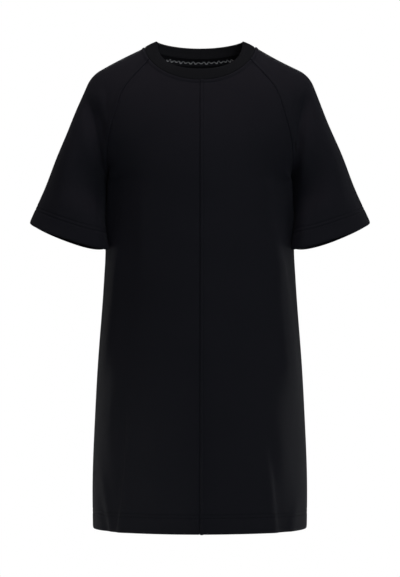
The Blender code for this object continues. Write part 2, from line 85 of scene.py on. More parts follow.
def cubic(controls: Sequence[Array], share: Array) -> Array:
    """Points of a cubic curve.

    Args:
        controls: its four control points, each with the coordinates last.
        share: where on it, from 0 to 1.

    Returns:
        The points, one for each share.
    """
    t = np.asarray(share, float)[..., None]
    a, b, c, d = controls
    s = 1 - t
    return s ** 3 * a + 3 * s * s * t * b + 3 * s * t * t * c + t ** 3 * d


def split(controls: Sequence[Array], share: Array) -> tuple[tuple[Array, ...], tuple[Array, ...]]:
    """The two parts of a cubic curve.

    Args:
        controls: its four control points.
        share: where it is cut.

    Returns:
        The control points of the part before the cut and of the part after it.
    """
    a, b, c, d = controls
    t = np.asarray(share, float)[..., None]
    ab, bc, cd = a + (b - a) * t, b + (c - b) * t, c + (d - c) * t
    abc, bcd = ab + (bc - ab) * t, bc + (cd - bc) * t
    middle = abc + (bcd - abc) * t
    return (a, ab, abc, middle), (middle, bcd, cd, d)


def slope_normals(surface: Surface, row: Array, column: Array) -> Array:
    """Unit normals of a surface by differences along its columns and then its rows.

    Args:
        surface: gives points from rows and columns.
        row: the places' first value.
        column: their second value, from -1 to 1.

    Returns:
        One normal for each place.
    """
    across = surface(row, np.minimum(column + STEP, 1)) - surface(row, np.maximum(column - STEP, -1))
    along = surface(row + STEP, column) - surface(row - STEP, column)
    return unit(np.cross(across, along))


@dataclass(frozen=True)
class SizeTable:
    """A short table of sizes whose first column is where they hold."""

    names: tuple[str, ...]
    rows: tuple[tuple[float, ...], ...]

    def read(self, name: str, at: Array) -> Array:
        """One column at any place, on a natural cubic curve through its values.

        Args:
            name: the column.
            at: the places.

        Returns:
            The value at each place.
        """
        values = np.array(self.rows, float)
        values = values[np.argsort(values[:, 0])]
        knots, heights = values[:, 0], values[:, self.names.index(name)]
        gaps = np.diff(knots)
        slopes = np.diff(heights) / gaps
        count = len(knots)
        system, right = np.eye(count), np.zeros(count)
        for i in range(1, count - 1):
            system[i, i - 1:i + 2] = gaps[i - 1], 2 * (gaps[i - 1] + gaps[i]), gaps[i]
            right[i] = 6 * (slopes[i] - slopes[i - 1])
        bend = np.linalg.solve(system, right)
        at = np.asarray(at, float)
        i = np.clip(np.searchsorted(knots, at, side="right") - 1, 0, count - 2)
        left, over, gap = knots[i + 1] - at, at - knots[i], gaps[i]
        return (
            bend[i] * left ** 3 / (6 * gap)
            + bend[i + 1] * over ** 3 / (6 * gap)
            + (heights[i] / gap - bend[i] * gap / 6) * left
            + (heights[i + 1] / gap - bend[i + 1] * gap / 6) * over
        )


class Face(Enum):
    """Which face of the garment a curve belongs to."""

    FRONT = "front"
    BACK = "back"

    @property
    def sign(self) -> float:
        """The side of the garment that it is on, along Y."""
        return -1.0 if self is Face.FRONT else 1.0


class Side(Enum):
    """The wearer's left or right."""

    LEFT = "left"
    RIGHT = "right"

    @property
    def sign(self) -> float:
        """The side of the garment that it is on, along X."""
        return 1.0 if self is Side.LEFT else -1.0


# ---------------------------------------------------------------- the garment's form

@dataclass(frozen=True)
class Ease:
    """A soft shift of the form about one point, the same for every piece that meets there."""

    place: tuple[float, float, float]
    radius: tuple[float, float, float]
    shift: tuple[float, float, float]

    def moved(self, points: Array) -> Array:
        """The points with the shift."""
        apart = (points - np.array(self.place)) / np.array(self.radius)
        near = np.exp(-np.sum(apart ** 2, axis=-1, keepdims=True))
        return points + near * np.array(self.shift)


@dataclass(frozen=True)
class EdgeFold:
    """The soft ridge beside the sleeve, where the cloth of the front turns to the back."""

    height: float = 0.0080
    place: float = 0.150  # in from the seam, as a share of the row from the middle to the seam
    width: float = 0.085
    seam_fade: float = 0.06
    top: float = 0.16
    bottom: float = -0.26
    end_fade: float = 0.16

    def lift(self, level: Array, across: Array) -> Array:
        """How far it stands out.

        Args:
            level: -1 at the hem, 0 at the underarm, 1 at the neck.
            across: 0 in the middle of the front, 1 at its seam.

        Returns:
            The height at each place.
        """
        inside = 1 - across
        ridge = np.exp(-(((inside - self.place) / self.width) ** 2))
        upper = smooth((self.top - level) / self.end_fade)
        lower = smooth((level - self.bottom) / self.end_fade)
        return self.height * ridge * upper * lower * smooth(inside / self.seam_fade)


@dataclass(frozen=True)
class DressForm:
    """The cloth's outer side before its folds, as the solids have it.

    From the hem to the underarm its rows are level rings. From the underarm to the neck they run round
    the yoke, over both sleeves. A quarter of a row is one cubic curve from the middle of the front or
    back to the side, and the raglan seam is the share of it at which the sleeve begins.
    """

    hem_height: float = -0.864
    underarm_height: float = -0.240
    neck_half_width: float = 0.0992
    shoulder_slope: float = math.radians(27.9)
    sleeve_slope: float = math.radians(67.7)
    shoulder_length: float = 0.0902
    shoulder_radius: float = 0.055
    sleeve_top_length: float = 0.3947
    yoke_top_length: float = 0.282
    cuff_inner_height: float = -0.361
    cuff_ahead: float = 0.19
    underarm_ahead: float = 0.065
    underarm_turn: float = 0.6
    cuff_dip_inner: float = 0.018
    cuff_dip_outer: float = 0.011
    cuff_depth: float = 0.074
    sleeve_forward: float = 0.029
    sleeve_clearance: float = 0.00003
    cuff_clearance: float = 0.00005
    centre_handle: float = 0.60
    side_handle: float = 0.58
    body: SizeTable = SizeTable(
        ("height", "half_width", "front", "back"),
        (
            (-0.864, 0.1925, 0.1520, 0.1460),
            (-0.779, 0.1930, 0.1515, 0.1430),
            (-0.671, 0.1890, 0.1490, 0.1370),
            (-0.563, 0.1830, 0.1465, 0.1300),
            (-0.455, 0.1747, 0.1440, 0.1240),
            (-0.369, 0.1692, 0.1410, 0.1200),
            (-0.289, 0.1635, 0.1385, 0.1190),
            (-0.240, 0.1605, 0.1370, 0.1190),
        ),
    )
    yoke: SizeTable = SizeTable(
        ("rise", "front_y", "front_z", "back_y", "back_z", "side_x", "side_z", "flat"),
        (
            (0.00, -0.1370, -0.2400, 0.1190, -0.2400, 0.1605, -0.2400, 0.0963),
            (0.14, -0.1359, -0.2150, 0.1190, -0.2090, 0.1700, -0.2210, 0.0958),
            (0.29, -0.1332, -0.1880, 0.1180, -0.1760, 0.1870, -0.1930, 0.0955),
            (0.42, -0.1288, -0.1650, 0.1150, -0.1480, 0.2020, -0.1550, 0.0955),
            (0.56, -0.1222, -0.1400, 0.1088, -0.1170, 0.2000, -0.1070, 0.0940),
            (0.72, -0.1128, -0.1120, 0.0992, -0.0800, 0.1770, -0.0620, 0.0870),
            (0.87, -0.1020, -0.0860, 0.0880, -0.0450, 0.1370, -0.0290, 0.0745),
            (1.00, -0.0905, -0.0649, 0.0770, -0.0145, 0.0992, 0.0000, 0.0609),
        ),
    )
    front_seam: SizeTable = SizeTable(
        ("rise", "share", "fold", "reach", "swell"),
        (
            (0.00, 1.000, 150.0, 0.095, 0.101),
            (0.14, 0.845, 105.0, 0.060, 0.087),
            (0.29, 0.700, 62.0, 0.034, 0.058),
            (0.42, 0.608, 26.0, 0.014, 0.030),
            (0.56, 0.565, 5.0, 0.006, 0.011),
            (0.72, 0.582, 0.0, 0.004, 0.006),
            (0.87, 0.633, 0.0, 0.003, 0.002),
            (1.00, 0.700, 0.0, 0.000, 0.000),
        ),
    )
    back_seam: SizeTable = SizeTable(
        ("rise", "share", "fold", "reach", "swell"),
        (
            (0.00, 1.000, 150.0, 0.095, 0.101),
            (0.14, 0.855, 105.0, 0.060, 0.088),
            (0.29, 0.720, 62.0, 0.037, 0.062),
            (0.42, 0.630, 28.0, 0.018, 0.035),
            (0.56, 0.590, 6.0, 0.008, 0.015),
            (0.72, 0.605, 0.0, 0.005, 0.008),
            (0.87, 0.660, 0.0, 0.003, 0.003),
            (1.00, 0.730, 0.0, 0.000, 0.000),
        ),
    )
    shoulder_lean: SizeTable = SizeTable(
        ("rise", "front", "back"),
        ((0.00, 0.00, 0.00), (0.56, 0.00, 0.00), (0.80, 0.12, 0.00), (1.00, 0.50, 0.00)),
    )
    edge_fold: EdgeFold = EdgeFold()
    underarm_ease: Ease = Ease((0.160, -0.032, -0.222), (0.034, 0.050, 0.046), (0.0, -0.012, 0.0))

    @property
    def body_length(self) -> float:
        """From the underarm to the hem."""
        return self.underarm_height - self.hem_height

    @property
    def tube_length(self) -> float:
        """From the underarm's level to the cuff, along the sleeve's top."""
        return self.sleeve_top_length - self.yoke_top_length

    def seams(self, face: Face) -> SizeTable:
        """The raglan seam's sizes on one face."""
        return self.front_seam if face is Face.FRONT else self.back_seam

    def shoulder_line(self, length: Array) -> tuple[Array, Array]:
        """The sleeve's top line.

        Args:
            length: how far along it from the neckband's seam.

        Returns:
            x and z there.
        """
        slope_start, slope_end = self.shoulder_slope, self.sleeve_slope
        arc_length = self.shoulder_radius * (slope_end - slope_start)
        straight = np.clip(length, 0, self.shoulder_length)
        bent = np.clip(length - self.shoulder_length, 0, arc_length) / self.shoulder_radius
        after = np.clip(length - self.shoulder_length - arc_length, 0, None)
        slope = slope_start + bent
        x = (
            self.neck_half_width
            + straight * math.cos(slope_start)
            + self.shoulder_radius * (np.sin(slope) - math.sin(slope_start))
            + after * math.cos(slope_end)
        )
        z = (
            -straight * math.sin(slope_start)
            + self.shoulder_radius * (np.cos(slope) - math.cos(slope_start))
            - after * math.sin(slope_end)
        )
        return x, z

    def quarter_row(self, face: Face, level: Array) -> tuple[Array, Array, Array, Array]:
        """The curve from the middle of a face to the side.

        Args:
            face: front or back.
            level: -1 at the hem, 0 at the underarm, 1 at the neck.

        Returns:
            The curve's four control points.
        """
        level = np.asarray(level, float)
        low, rise = np.clip(level, -1, 0), np.clip(level, 0, 1)
        height = self.underarm_height + low * self.body_length
        below = level < 0
        name = face.value
        centre_y = np.where(
            below, face.sign * self.body.read(name, height), self.yoke.read(name + "_y", rise)
        )
        centre_z = np.where(below, height, self.yoke.read(name + "_z", rise))
        side_x = np.where(below, self.body.read("half_width", height), self.yoke.read("side_x", rise))
        side_z = np.where(below, height, self.yoke.read("side_z", rise))
        centre, side = stack(0.0, centre_y, centre_z), stack(side_x, 0.0, side_z)
        flat = np.where(below, self.centre_handle * side_x, self.yoke.read("flat", rise))
        tilt = np.where(below, 0.0, self.shoulder_lean.read(name, rise))
        towards = stack(
            0.0,
            self.side_handle * centre_y,
            face.sign * self.side_handle * np.abs(centre_y) * tilt,
        )
        return centre, centre + stack(flat, 0.0, 0.0), side + towards, side

    def seam_share(self, face: Face, level: Array) -> Array:
        """Where the panel ends on its row: at the raglan seam above the underarm, else at the side."""
        rise = np.clip(level, 0, 1)
        share = np.clip(self.seams(face).read("share", rise), 0, 1)
        return np.where(np.asarray(level) <= 0, 1.0, share)

    def panel(self, face: Face, level: Array, across: Array) -> Array:
        """Points of the front or back.

        Args:
            face: front or back.
            level: -1 at the hem, 0 at the underarm, 1 at the neck.
            across: -1 at the wearer's right seam, 1 at the left one.

        Returns:
            The points on the cloth's outer side.
        """
        half = cubic(self.quarter_row(face, level), self.seam_share(face, level) * np.abs(across))
        half = self.underarm_ease.moved(half)
        return half * mirrored(across)

    def yoke_sleeve(self, face: Face, rise: Array) -> tuple[Array, Array, Array]:
        """The sleeve's curve above the underarm, which turns back from the panel at the raglan seam.

        Args:
            face: front or back.
            rise: 0 at the underarm, 1 at the neck.

        Returns:
            The curve's start, and the handles at its start and at its top.
        """
        sizes = self.seams(face)
        _, (seam, seam_handle, side_handle, side) = split(
            self.quarter_row(face, rise), self.seam_share(face, rise)
        )
        natural = seam_handle - seam
        length = np.linalg.norm(natural, axis=-1)
        clear = length > 1e-5
        heading = np.where(
            clear, np.arctan2(-face.sign * natural[..., 1], natural[..., 0]), math.pi / 2
        )
        climb = np.where(clear, natural[..., 2] / np.maximum(length, 1e-5), 0.0)
        fold = np.radians(sizes.read("fold", rise))
        turn = heading - fold
        reach = length + sizes.read("reach", rise)
        level_reach = reach * np.sqrt(1 - np.clip(climb, -0.9, 0.9) ** 2)
        start = stack(
            level_reach * np.cos(turn), -face.sign * level_reach * np.sin(turn), reach * climb
        )
        end = side_handle - side + stack(0.0, face.sign * sizes.read("swell", rise), 0.0)
        away = self.sleeve_clearance * np.sin(fold / 2)
        seam = seam + stack(away * np.sin(heading), face.sign * away * np.cos(heading), 0.0)
        return seam, start, end

    def tube_sleeve(self, face: Face, down: Array) -> tuple[Array, Array, Array]:
        """The sleeve's curve below the underarm, where its seam lies along the body.

        Args:
            face: front or back.
            down: 0 at the underarm, 1 at the cuff.

        Returns:
            The curve's start, and the handles at its start and at its top.
        """
        height = self.underarm_height + (self.cuff_inner_height - self.underarm_height) * down
        level = (height - self.underarm_height) / self.body_length
        early = self.underarm_ahead * smooth(down / self.underarm_turn)
        share = 1 - early - (self.cuff_ahead - self.underarm_ahead) * down
        row = self.quarter_row(Face.FRONT, level)
        on_body, before = cubic(row, share), cubic(row, share - STEP)
        aim = np.arctan2(on_body[..., 1] - before[..., 1], on_body[..., 0] - before[..., 0])
        clearance = self.sleeve_clearance + (self.cuff_clearance - self.sleeve_clearance) * down
        clearance = clearance + self.edge_fold.lift(level, share)
        seam = on_body + stack(clearance * np.sin(aim), -clearance * np.cos(aim), 0.0)
        square = smooth(down)
        sizes = self.seams(face)
        first_turn = math.pi / 2 - np.radians(sizes.read("fold", np.array(0.0)))
        turn = first_turn * (1 - square) - math.pi / 2 * square + face.sign * (math.pi / 2 - aim)
        first_reach = sizes.read("reach", np.array(0.0))
        first_swell = sizes.read("swell", np.array(0.0))
        reach = first_reach + (self.cuff_depth - first_reach) * down
        start = stack(
            reach * np.cos(turn), -face.sign * reach * np.sin(turn), -self.cuff_dip_inner * down
        )
        end = stack(
            0.0,
            face.sign * (first_swell + (self.cuff_depth - first_swell) * down),
            -self.cuff_dip_outer * down,
        )
        return seam, start, end

    def sleeve_quarter(self, face: Face, along: Array) -> tuple[Array, Array, Array, Array]:
        """The sleeve's curve from its seam to its top.

        Args:
            face: front or back.
            along: 0 at the neck, 1 at the underarm, 2 at the cuff.

        Returns:
            The curve's four control points.
        """
        along = np.asarray(along, float)
        down = np.clip(along - 1, 0, 1)
        upper = (along <= 1)[..., None]
        top_length = np.minimum(along, 1) * self.yoke_top_length + down * self.tube_length
        top_x, top_z = self.shoulder_line(top_length)
        top = stack(top_x, -self.sleeve_forward * down ** 2, top_z)
        above = self.yoke_sleeve(face, np.clip(1 - along, 0, 1))
        below = self.tube_sleeve(face, down)
        seam, start, end = (np.where(upper, a, b) for a, b in zip(above, below))
        return seam, seam + start, top + end, top

    def sleeve(self, along: Array, across: Array) -> Array:
        """Points of the left sleeve.

        Args:
            along: 0 at the neck, 1 at the underarm, 2 at the cuff.
            across: -1 at the front seam, 0 over the top, 1 at the back seam.

        Returns:
            The points on the cloth's outer side.
        """
        front = cubic(self.sleeve_quarter(Face.FRONT, along), 1 - np.abs(across))
        back = cubic(self.sleeve_quarter(Face.BACK, along), 1 - np.abs(across))
        return self.underarm_ease.moved(np.where((across <= 0)[..., None], front, back))

    @staticmethod
    def neck_half(around: Array) -> tuple[Array, Array]:
        """A place round the neck on its left half, and the factors that put it back where it was."""
        turned = np.mod(around, 1.0)
        return np.where(turned > 0.5, 1 - turned, turned), mirrored(0.5 - turned)

    def round_neck(self, around: Array, ends: Callable[[Face], tuple[Array, ...]]) -> Array:
        """Points of a closed curve round the neck that is made of mirrored quarters.

        Args:
            around: 0 at the middle of the front, 0.25 left, 0.5 back, 0.75 right.
            ends: gives a face's quarter as four control points.

        Returns:
            The points.
        """
        half, mirror = self.neck_half(around)
        front = cubic(ends(Face.FRONT), half * 4)
        back = cubic(ends(Face.BACK), (0.5 - half) * 4)
        return np.where((half <= 0.25)[..., None], front, back) * mirror

    def neck_seam(self, around: Array) -> Array:
        """The neckband's seam, at the places that round_neck names."""
        return self.round_neck(around, lambda face: self.quarter_row(face, np.array(1.0)))

    def neck_normal(self, around: Array) -> Array:
        """The outward direction of the cloth where it meets the neckband, at round_neck's places."""
        half, mirror = self.neck_half(around)
        normals = []
        for face, share in ((Face.FRONT, half * 4), (Face.BACK, (0.5 - half) * 4)):
            seam = self.seam_share(face, 1.0)
            inward = -face.sign
            on_panel = inward * slope_normals(
                lambda a, b, face=face: self.panel(face, a, b),
                np.ones_like(share),
                np.clip(share / seam, 0, 1),
            )
            past = np.clip((share - seam) / (1 - seam), 0, 1)
            on_sleeve = -slope_normals(self.sleeve, np.zeros_like(share), (past - 1) * inward)
            normals.append(np.where((share <= seam)[..., None], on_panel, on_sleeve))
        return np.where((half <= 0.25)[..., None], normals[0], normals[1]) * mirror


# ---------------------------------------------------------------- folds

@dataclass(frozen=True)
class Fold:
    """A soft ridge of the cloth, or a trough if its height is negative, seen from front or back.

    lee is the width on its wearer's-left side, as a share of the width on the other side.
    """

    start: tuple[float, float]
    end: tuple[float, float]
    bow: float
    width: float
    height: float
    lee: float = 1.0
    fade: float = 0.3

    def lift(self, points: Array) -> Array:
        """How far the cloth stands out at each point because of this fold."""
        start = np.array(self.start)
        run = np.array(self.end) - start
        length = np.hypot(*run)
        offset = points[..., (0, 2)] - start
        share = offset @ run / length ** 2
        bow = 4 * self.bow * share * (1 - share)
        aside = (offset[..., 0] * run[1] - offset[..., 1] * run[0]) / length - bow
        width = np.where(aside < 0, self.width * self.lee, self.width)
        ends = smooth(np.minimum(share, 1 - share) / self.fade)
        return self.height * np.exp(-((aside / width) ** 2)) * ends


def lifted(folds: Sequence[Fold], points: Array) -> Array:
    """How far all the folds together lift the cloth at each point."""
    total = np.zeros(points.shape[:-1])
    for fold in folds:
        total = total + fold.lift(points)
    return total


FRONT_FOLDS = (
    Fold((0.130, -0.290), (0.182, -0.680), 0.006, 0.018, 0.0080),
    Fold((-0.148, -0.300), (-0.184, -0.620), -0.004, 0.018, 0.0070),
    Fold((-0.134, -0.630), (-0.152, -0.990), 0.004, 0.017, 0.0080),
    Fold((0.126, -0.700), (0.143, -1.000), -0.003, 0.017, 0.0065),
)
FRONT_CREASES = (
    Fold((-0.1335, -0.600), (-0.1680, -0.960), -0.0095, 0.0220, -0.0110, 0.28, 0.35),
    Fold((-0.1790, -0.740), (-0.1520, -0.900), -0.0020, 0.0060, 0.0040),
    Fold((-0.1820, -0.790), (-0.1600, -0.890), 0.0010, 0.0050, -0.0030),
    Fold((-0.1370, -0.310), (-0.1790, -0.640), -0.0020, 0.0100, 0.0036, 0.60),
    Fold((-0.0980, -0.230), (-0.1040, -0.420), 0.0020, 0.0160, 0.0024),
    Fold((0.1215, -0.680), (0.1500, -0.960), -0.0020, 0.0070, -0.0080, 2.6, 0.35),
    Fold((0.1180, -0.280), (0.1760, -0.660), -0.0095, 0.0110, 0.0044, 0.60),
    Fold((0.1760, -0.800), (0.1580, -0.900), 0.0020, 0.0070, 0.0030),
    Fold((0.1120, -0.190), (0.1240, -0.420), 0.0000, 0.0150, 0.0036),
)
BACK_FOLDS = (
    Fold((0.120, -0.380), (0.148, -1.040), 0.006, 0.024, 0.0090),
    Fold((-0.128, -0.330), (-0.150, -1.040), -0.006, 0.024, 0.0090),
    Fold((0.048, -0.520), (0.060, -1.100), 0.004, 0.026, 0.0060),
    Fold((-0.040, -0.560), (-0.054, -1.140), -0.004, 0.026, 0.0060),
)
BACK_CREASES = (
    Fold((0.118, -0.210), (0.128, -0.400), 0.004, 0.0120, 0.0022),
    Fold((-0.112, -0.190), (-0.126, -0.370), -0.003, 0.0110, 0.0020),
    Fold((0.143, -0.700), (0.152, -0.960), 0.003, 0.0060, 0.0022),
    Fold((-0.146, -0.640), (-0.155, -0.940), -0.002, 0.0055, 0.0020),
    Fold((0.092, -0.780), (0.098, -0.980), 0.002, 0.0080, 0.0016),
)
SLEEVE_FRONT_FOLDS = (
    Fold((0.196, -0.078), (0.168, -0.210), 0.004, 0.013, -0.0080),
    Fold((-0.203, -0.085), (-0.168, -0.215), -0.006, 0.013, -0.0100),
)
SLEEVE_BACK_FOLDS = (
    Fold((0.198, -0.082), (0.168, -0.205), 0.004, 0.014, -0.0080),
    Fold((-0.198, -0.086), (-0.168, -0.205), -0.004, 0.014, -0.0080),
)
SLEEVE_FRONT_CREASES = (
    Fold((0.1935, -0.060), (0.1590, -0.262), 0.0000, 0.0036, -0.0060, 3.0, 0.35),
    Fold((-0.2060, -0.072), (-0.1620, -0.260), 0.0000, 0.0110, -0.0068, 0.33, 0.35),
    Fold((0.1860, -0.120), (0.1800, -0.400), 0.0000, 0.0110, 0.0060, 1.0, 0.40),
    Fold((-0.1860, -0.120), (-0.1800, -0.400), 0.0000, 0.0110, 0.0060, 1.0, 0.40),
    Fold((0.176, -0.070), (0.168, -0.130), 0.000, 0.0060, -0.0014),
    Fold((-0.170, -0.060), (-0.164, -0.140), 0.000, 0.0070, -0.0020),
    Fold((0.214, -0.120), (0.196, -0.300), 0.004, 0.0090, 0.0022),
    Fold((-0.212, -0.130), (-0.198, -0.310), -0.004, 0.0090, 0.0018),
    Fold((0.240, -0.200), (0.246, -0.350), -0.003, 0.0120, 0.0014),
    Fold((-0.246, -0.170), (-0.250, -0.340), 0.003, 0.0120, 0.0016),
)
SLEEVE_BACK_CREASES = (
    Fold((0.222, -0.130), (0.206, -0.320), 0.004, 0.0110, 0.0024),
    Fold((-0.218, -0.150), (-0.204, -0.330), -0.003, 0.0100, 0.0022),
)


@dataclass(frozen=True)
class Drift:
    """The slight unevenness of cloth that hangs freely: long, low waves."""

    height: float = 0.0007
    waves: tuple[tuple[float, float, float], ...] = (
        (31.0, 17.0, 0.4),
        (-23.0, 41.0, 1.9),
        (53.0, -19.0, 3.1),
        (12.0, 63.0, 5.0),
    )

    def lift(self, points: Array) -> Array:
        """How far the cloth stands out at each point."""
        turned = points[..., 0] + 0.6 * points[..., 1]
        total = np.zeros(points.shape[:-1])
        for across, up, phase in self.waves:
            total = total + np.sin(across * turned + up * points[..., 2] + phase)
        return self.height * total / 2


# ---------------------------------------------------------------- cloth pieces

@dataclass(frozen=True)
class Sewing:
    """Sizes that every seam and hem of the dress shares."""

    knit: float = 0.0015
    roll_width: float = 0.0022
    roll_depth: float = 0.0008
    side_roll: float = 0.4
    side_touch: float = 0.2
    side_fade: float = 0.1
    raglan_fade: float = 0.75
    allowance: float = 0.0072
    allowance_edge: float = 0.0014
    allowance_lift: float = 0.0014
    topstitch: float = 0.0060
    neck_topstitch: float = 0.0055
    hem_turn: float = 0.034
    hem_step: float = 0.0025
    hem_roll: float = 0.0055
    hem_roll_depth: float = 0.0013
    hem_fullness: float = 0.98
    hem_rows: tuple[float, float] = (0.0276, 0.0338)
    cuff_rows: tuple[float, float] = (0.0262, 0.0324)
    dent: float = 0.0006
    dent_width: float = 0.0011
    fold_calm: float = 0.12
    drift_calm: float = 0.55
    crease_calm: float = 0.045

    def rolled(self, distance: Array, share: Array | float = 1.0) -> Array:
        """How far the cloth turns down into a seam, at a distance from it."""
        return -self.roll_depth * share * np.clip(1 - distance / self.roll_width, 0, 1) ** 2

    def pressed(self, distance: Array, stitched: float) -> Array:
        """The ridge of a seam allowance pressed under the cloth, and the dent of its topstitching.

        Args:
            distance: from the seam.
            stitched: where the topstitching runs.

        Returns:
            How far the cloth stands out.
        """
        rise = smooth(distance / self.allowance_edge)
        fall = 1 - smooth((distance - self.allowance + self.allowance_edge) / self.allowance_edge)
        dent = self.dent * np.exp(-(((distance - stitched) / self.dent_width) ** 2))
        return self.allowance_lift * rise * fall - dent

    def hemmed(self, distance: Array, rows: tuple[float, float]) -> Array:
        """The rounded bottom of a turned-up hem and the dents of its two rows of stitching.

        Args:
            distance: from the bottom edge, up the cloth.
            rows: where the stitching runs.

        Returns:
            How far the cloth stands out.
        """
        short = np.clip(1 - distance / self.hem_roll, 0, 1)
        total = -self.hem_roll_depth * (1 - np.sqrt(1 - self.hem_fullness * short ** 2))
        for row in rows:
            total = total - self.dent * np.exp(-(((distance - row) / self.dent_width) ** 2))
        return total

    def wall(self, distance: Array) -> Array:
        """The cloth's thickness at a distance from the hem: two layers, then one."""
        return self.knit * (2 - smooth((distance - self.hem_turn) / self.hem_step))


FINE_STEPS = (
    0.00002, 0.0006, 0.0013, 0.0021, 0.0030, 0.0040, 0.0048, 0.0055, 0.0062, 0.0070, 0.0080,
    0.0095, 0.0115, 0.0140, 0.0170, 0.0205,
)  # from a seam
HEM_STEPS = (0.0009, 0.0018, 0.0030, 0.0045, 0.0062, 0.0090, 0.0130, 0.0170, 0.0210, 0.0240)
STITCH_STEPS = (-0.0016, -0.0008, 0.0, 0.0008, 0.0016)  # round a row of stitches
TURN_STEPS = (0.0012, 0.0025, 0.0045)  # above the turned-up edge
HEM_FOLD_TURNS = (30.0, 60.0, 90.0, 120.0, 150.0)  # degrees round the hem's folded edge
LENGTH_STEPS = 65  # points of a line whose length is measured
ROW_LENGTH = 1.5  # of a half row at the underarm, over its half width


def spaced(first: Sequence[float], total: float, pitch: float) -> Array:
    """Places that start close together and go on evenly.

    Args:
        first: the close ones.
        total: the last place.
        pitch: about how far apart the others are.

    Returns:
        The places from first[0] to total.
    """
    rest = total - first[-1]
    count = max(1, round(rest / pitch))
    return np.concatenate((first, first[-1] + rest * np.arange(1, count + 1) / count))


def hem_places(rows: tuple[float, float], turn: float, total: float, pitch: float) -> Array:
    """Distances of a piece's rows from its hem, close together at the fold and the stitching."""
    close = [rows[0] + step for step in STITCH_STEPS]
    close.append((rows[0] + rows[1]) / 2)
    close += [rows[1] + step for step in STITCH_STEPS[:-1]]
    close += [turn + step for step in TURN_STEPS]
    return spaced((*HEM_STEPS, *close), total, pitch)


def tube_faces(start: int, rings: int, around: int) -> list[tuple[int, ...]]:
    """Faces of a tube with both its ends.

    Args:
        start: its first vertex.
        rings: how many rings of vertices it has, one after another.
        around: vertices in a ring.

    Returns:
        The faces as lists of vertices.
    """
    last = start + (rings - 1) * around
    faces = [
        (a + c, a + (c + 1) % around, a + around + (c + 1) % around, a + around + c)
        for a in range(start, last, around)
        for c in range(around)
    ]
    return [*faces, tuple(range(start, start + around))[::-1], tuple(range(last, last + around))]


def add_mesh(name: str, points: Array, faces: Sequence[Sequence[int]]) -> bpy.types.Object:
    """A smooth mesh object in the scene.

    Args:
        name: the object's name.
        points: its vertices.
        faces: lists of vertex indices.

    Returns:
        The object.
    """
    mesh = bpy.data.meshes.new(name)
    mesh.from_pydata(points.reshape(-1, 3).tolist(), [], faces)
    mesh.shade_smooth()
    thing = bpy.data.objects.new(name, mesh)
    bpy.context.scene.collection.objects.link(thing)
    return thing


def set_uv(thing: bpy.types.Object, places: Array) -> None:
    """Gives each vertex its place on the cloth, in metres."""
    mesh = thing.data
    corners = np.zeros(len(mesh.loops), np.int32)
    mesh.loops.foreach_get("vertex_index", corners)
    layer = mesh.uv_layers.new(name=UV_NAME)
    layer.uv.foreach_set("vector", places.reshape(-1, 2)[corners].astype(np.float32).ravel())


def run_length(points: Array, axis: int) -> Array:
    """The length along a grid of points up to each of them, along one of its two ways."""
    steps = np.linalg.norm(np.diff(points, axis=axis), axis=-1)
    pad = [(0, 0), (0, 0)]
    pad[axis] = (1, 0)
    return np.cumsum(np.pad(steps, pad), axis=axis)


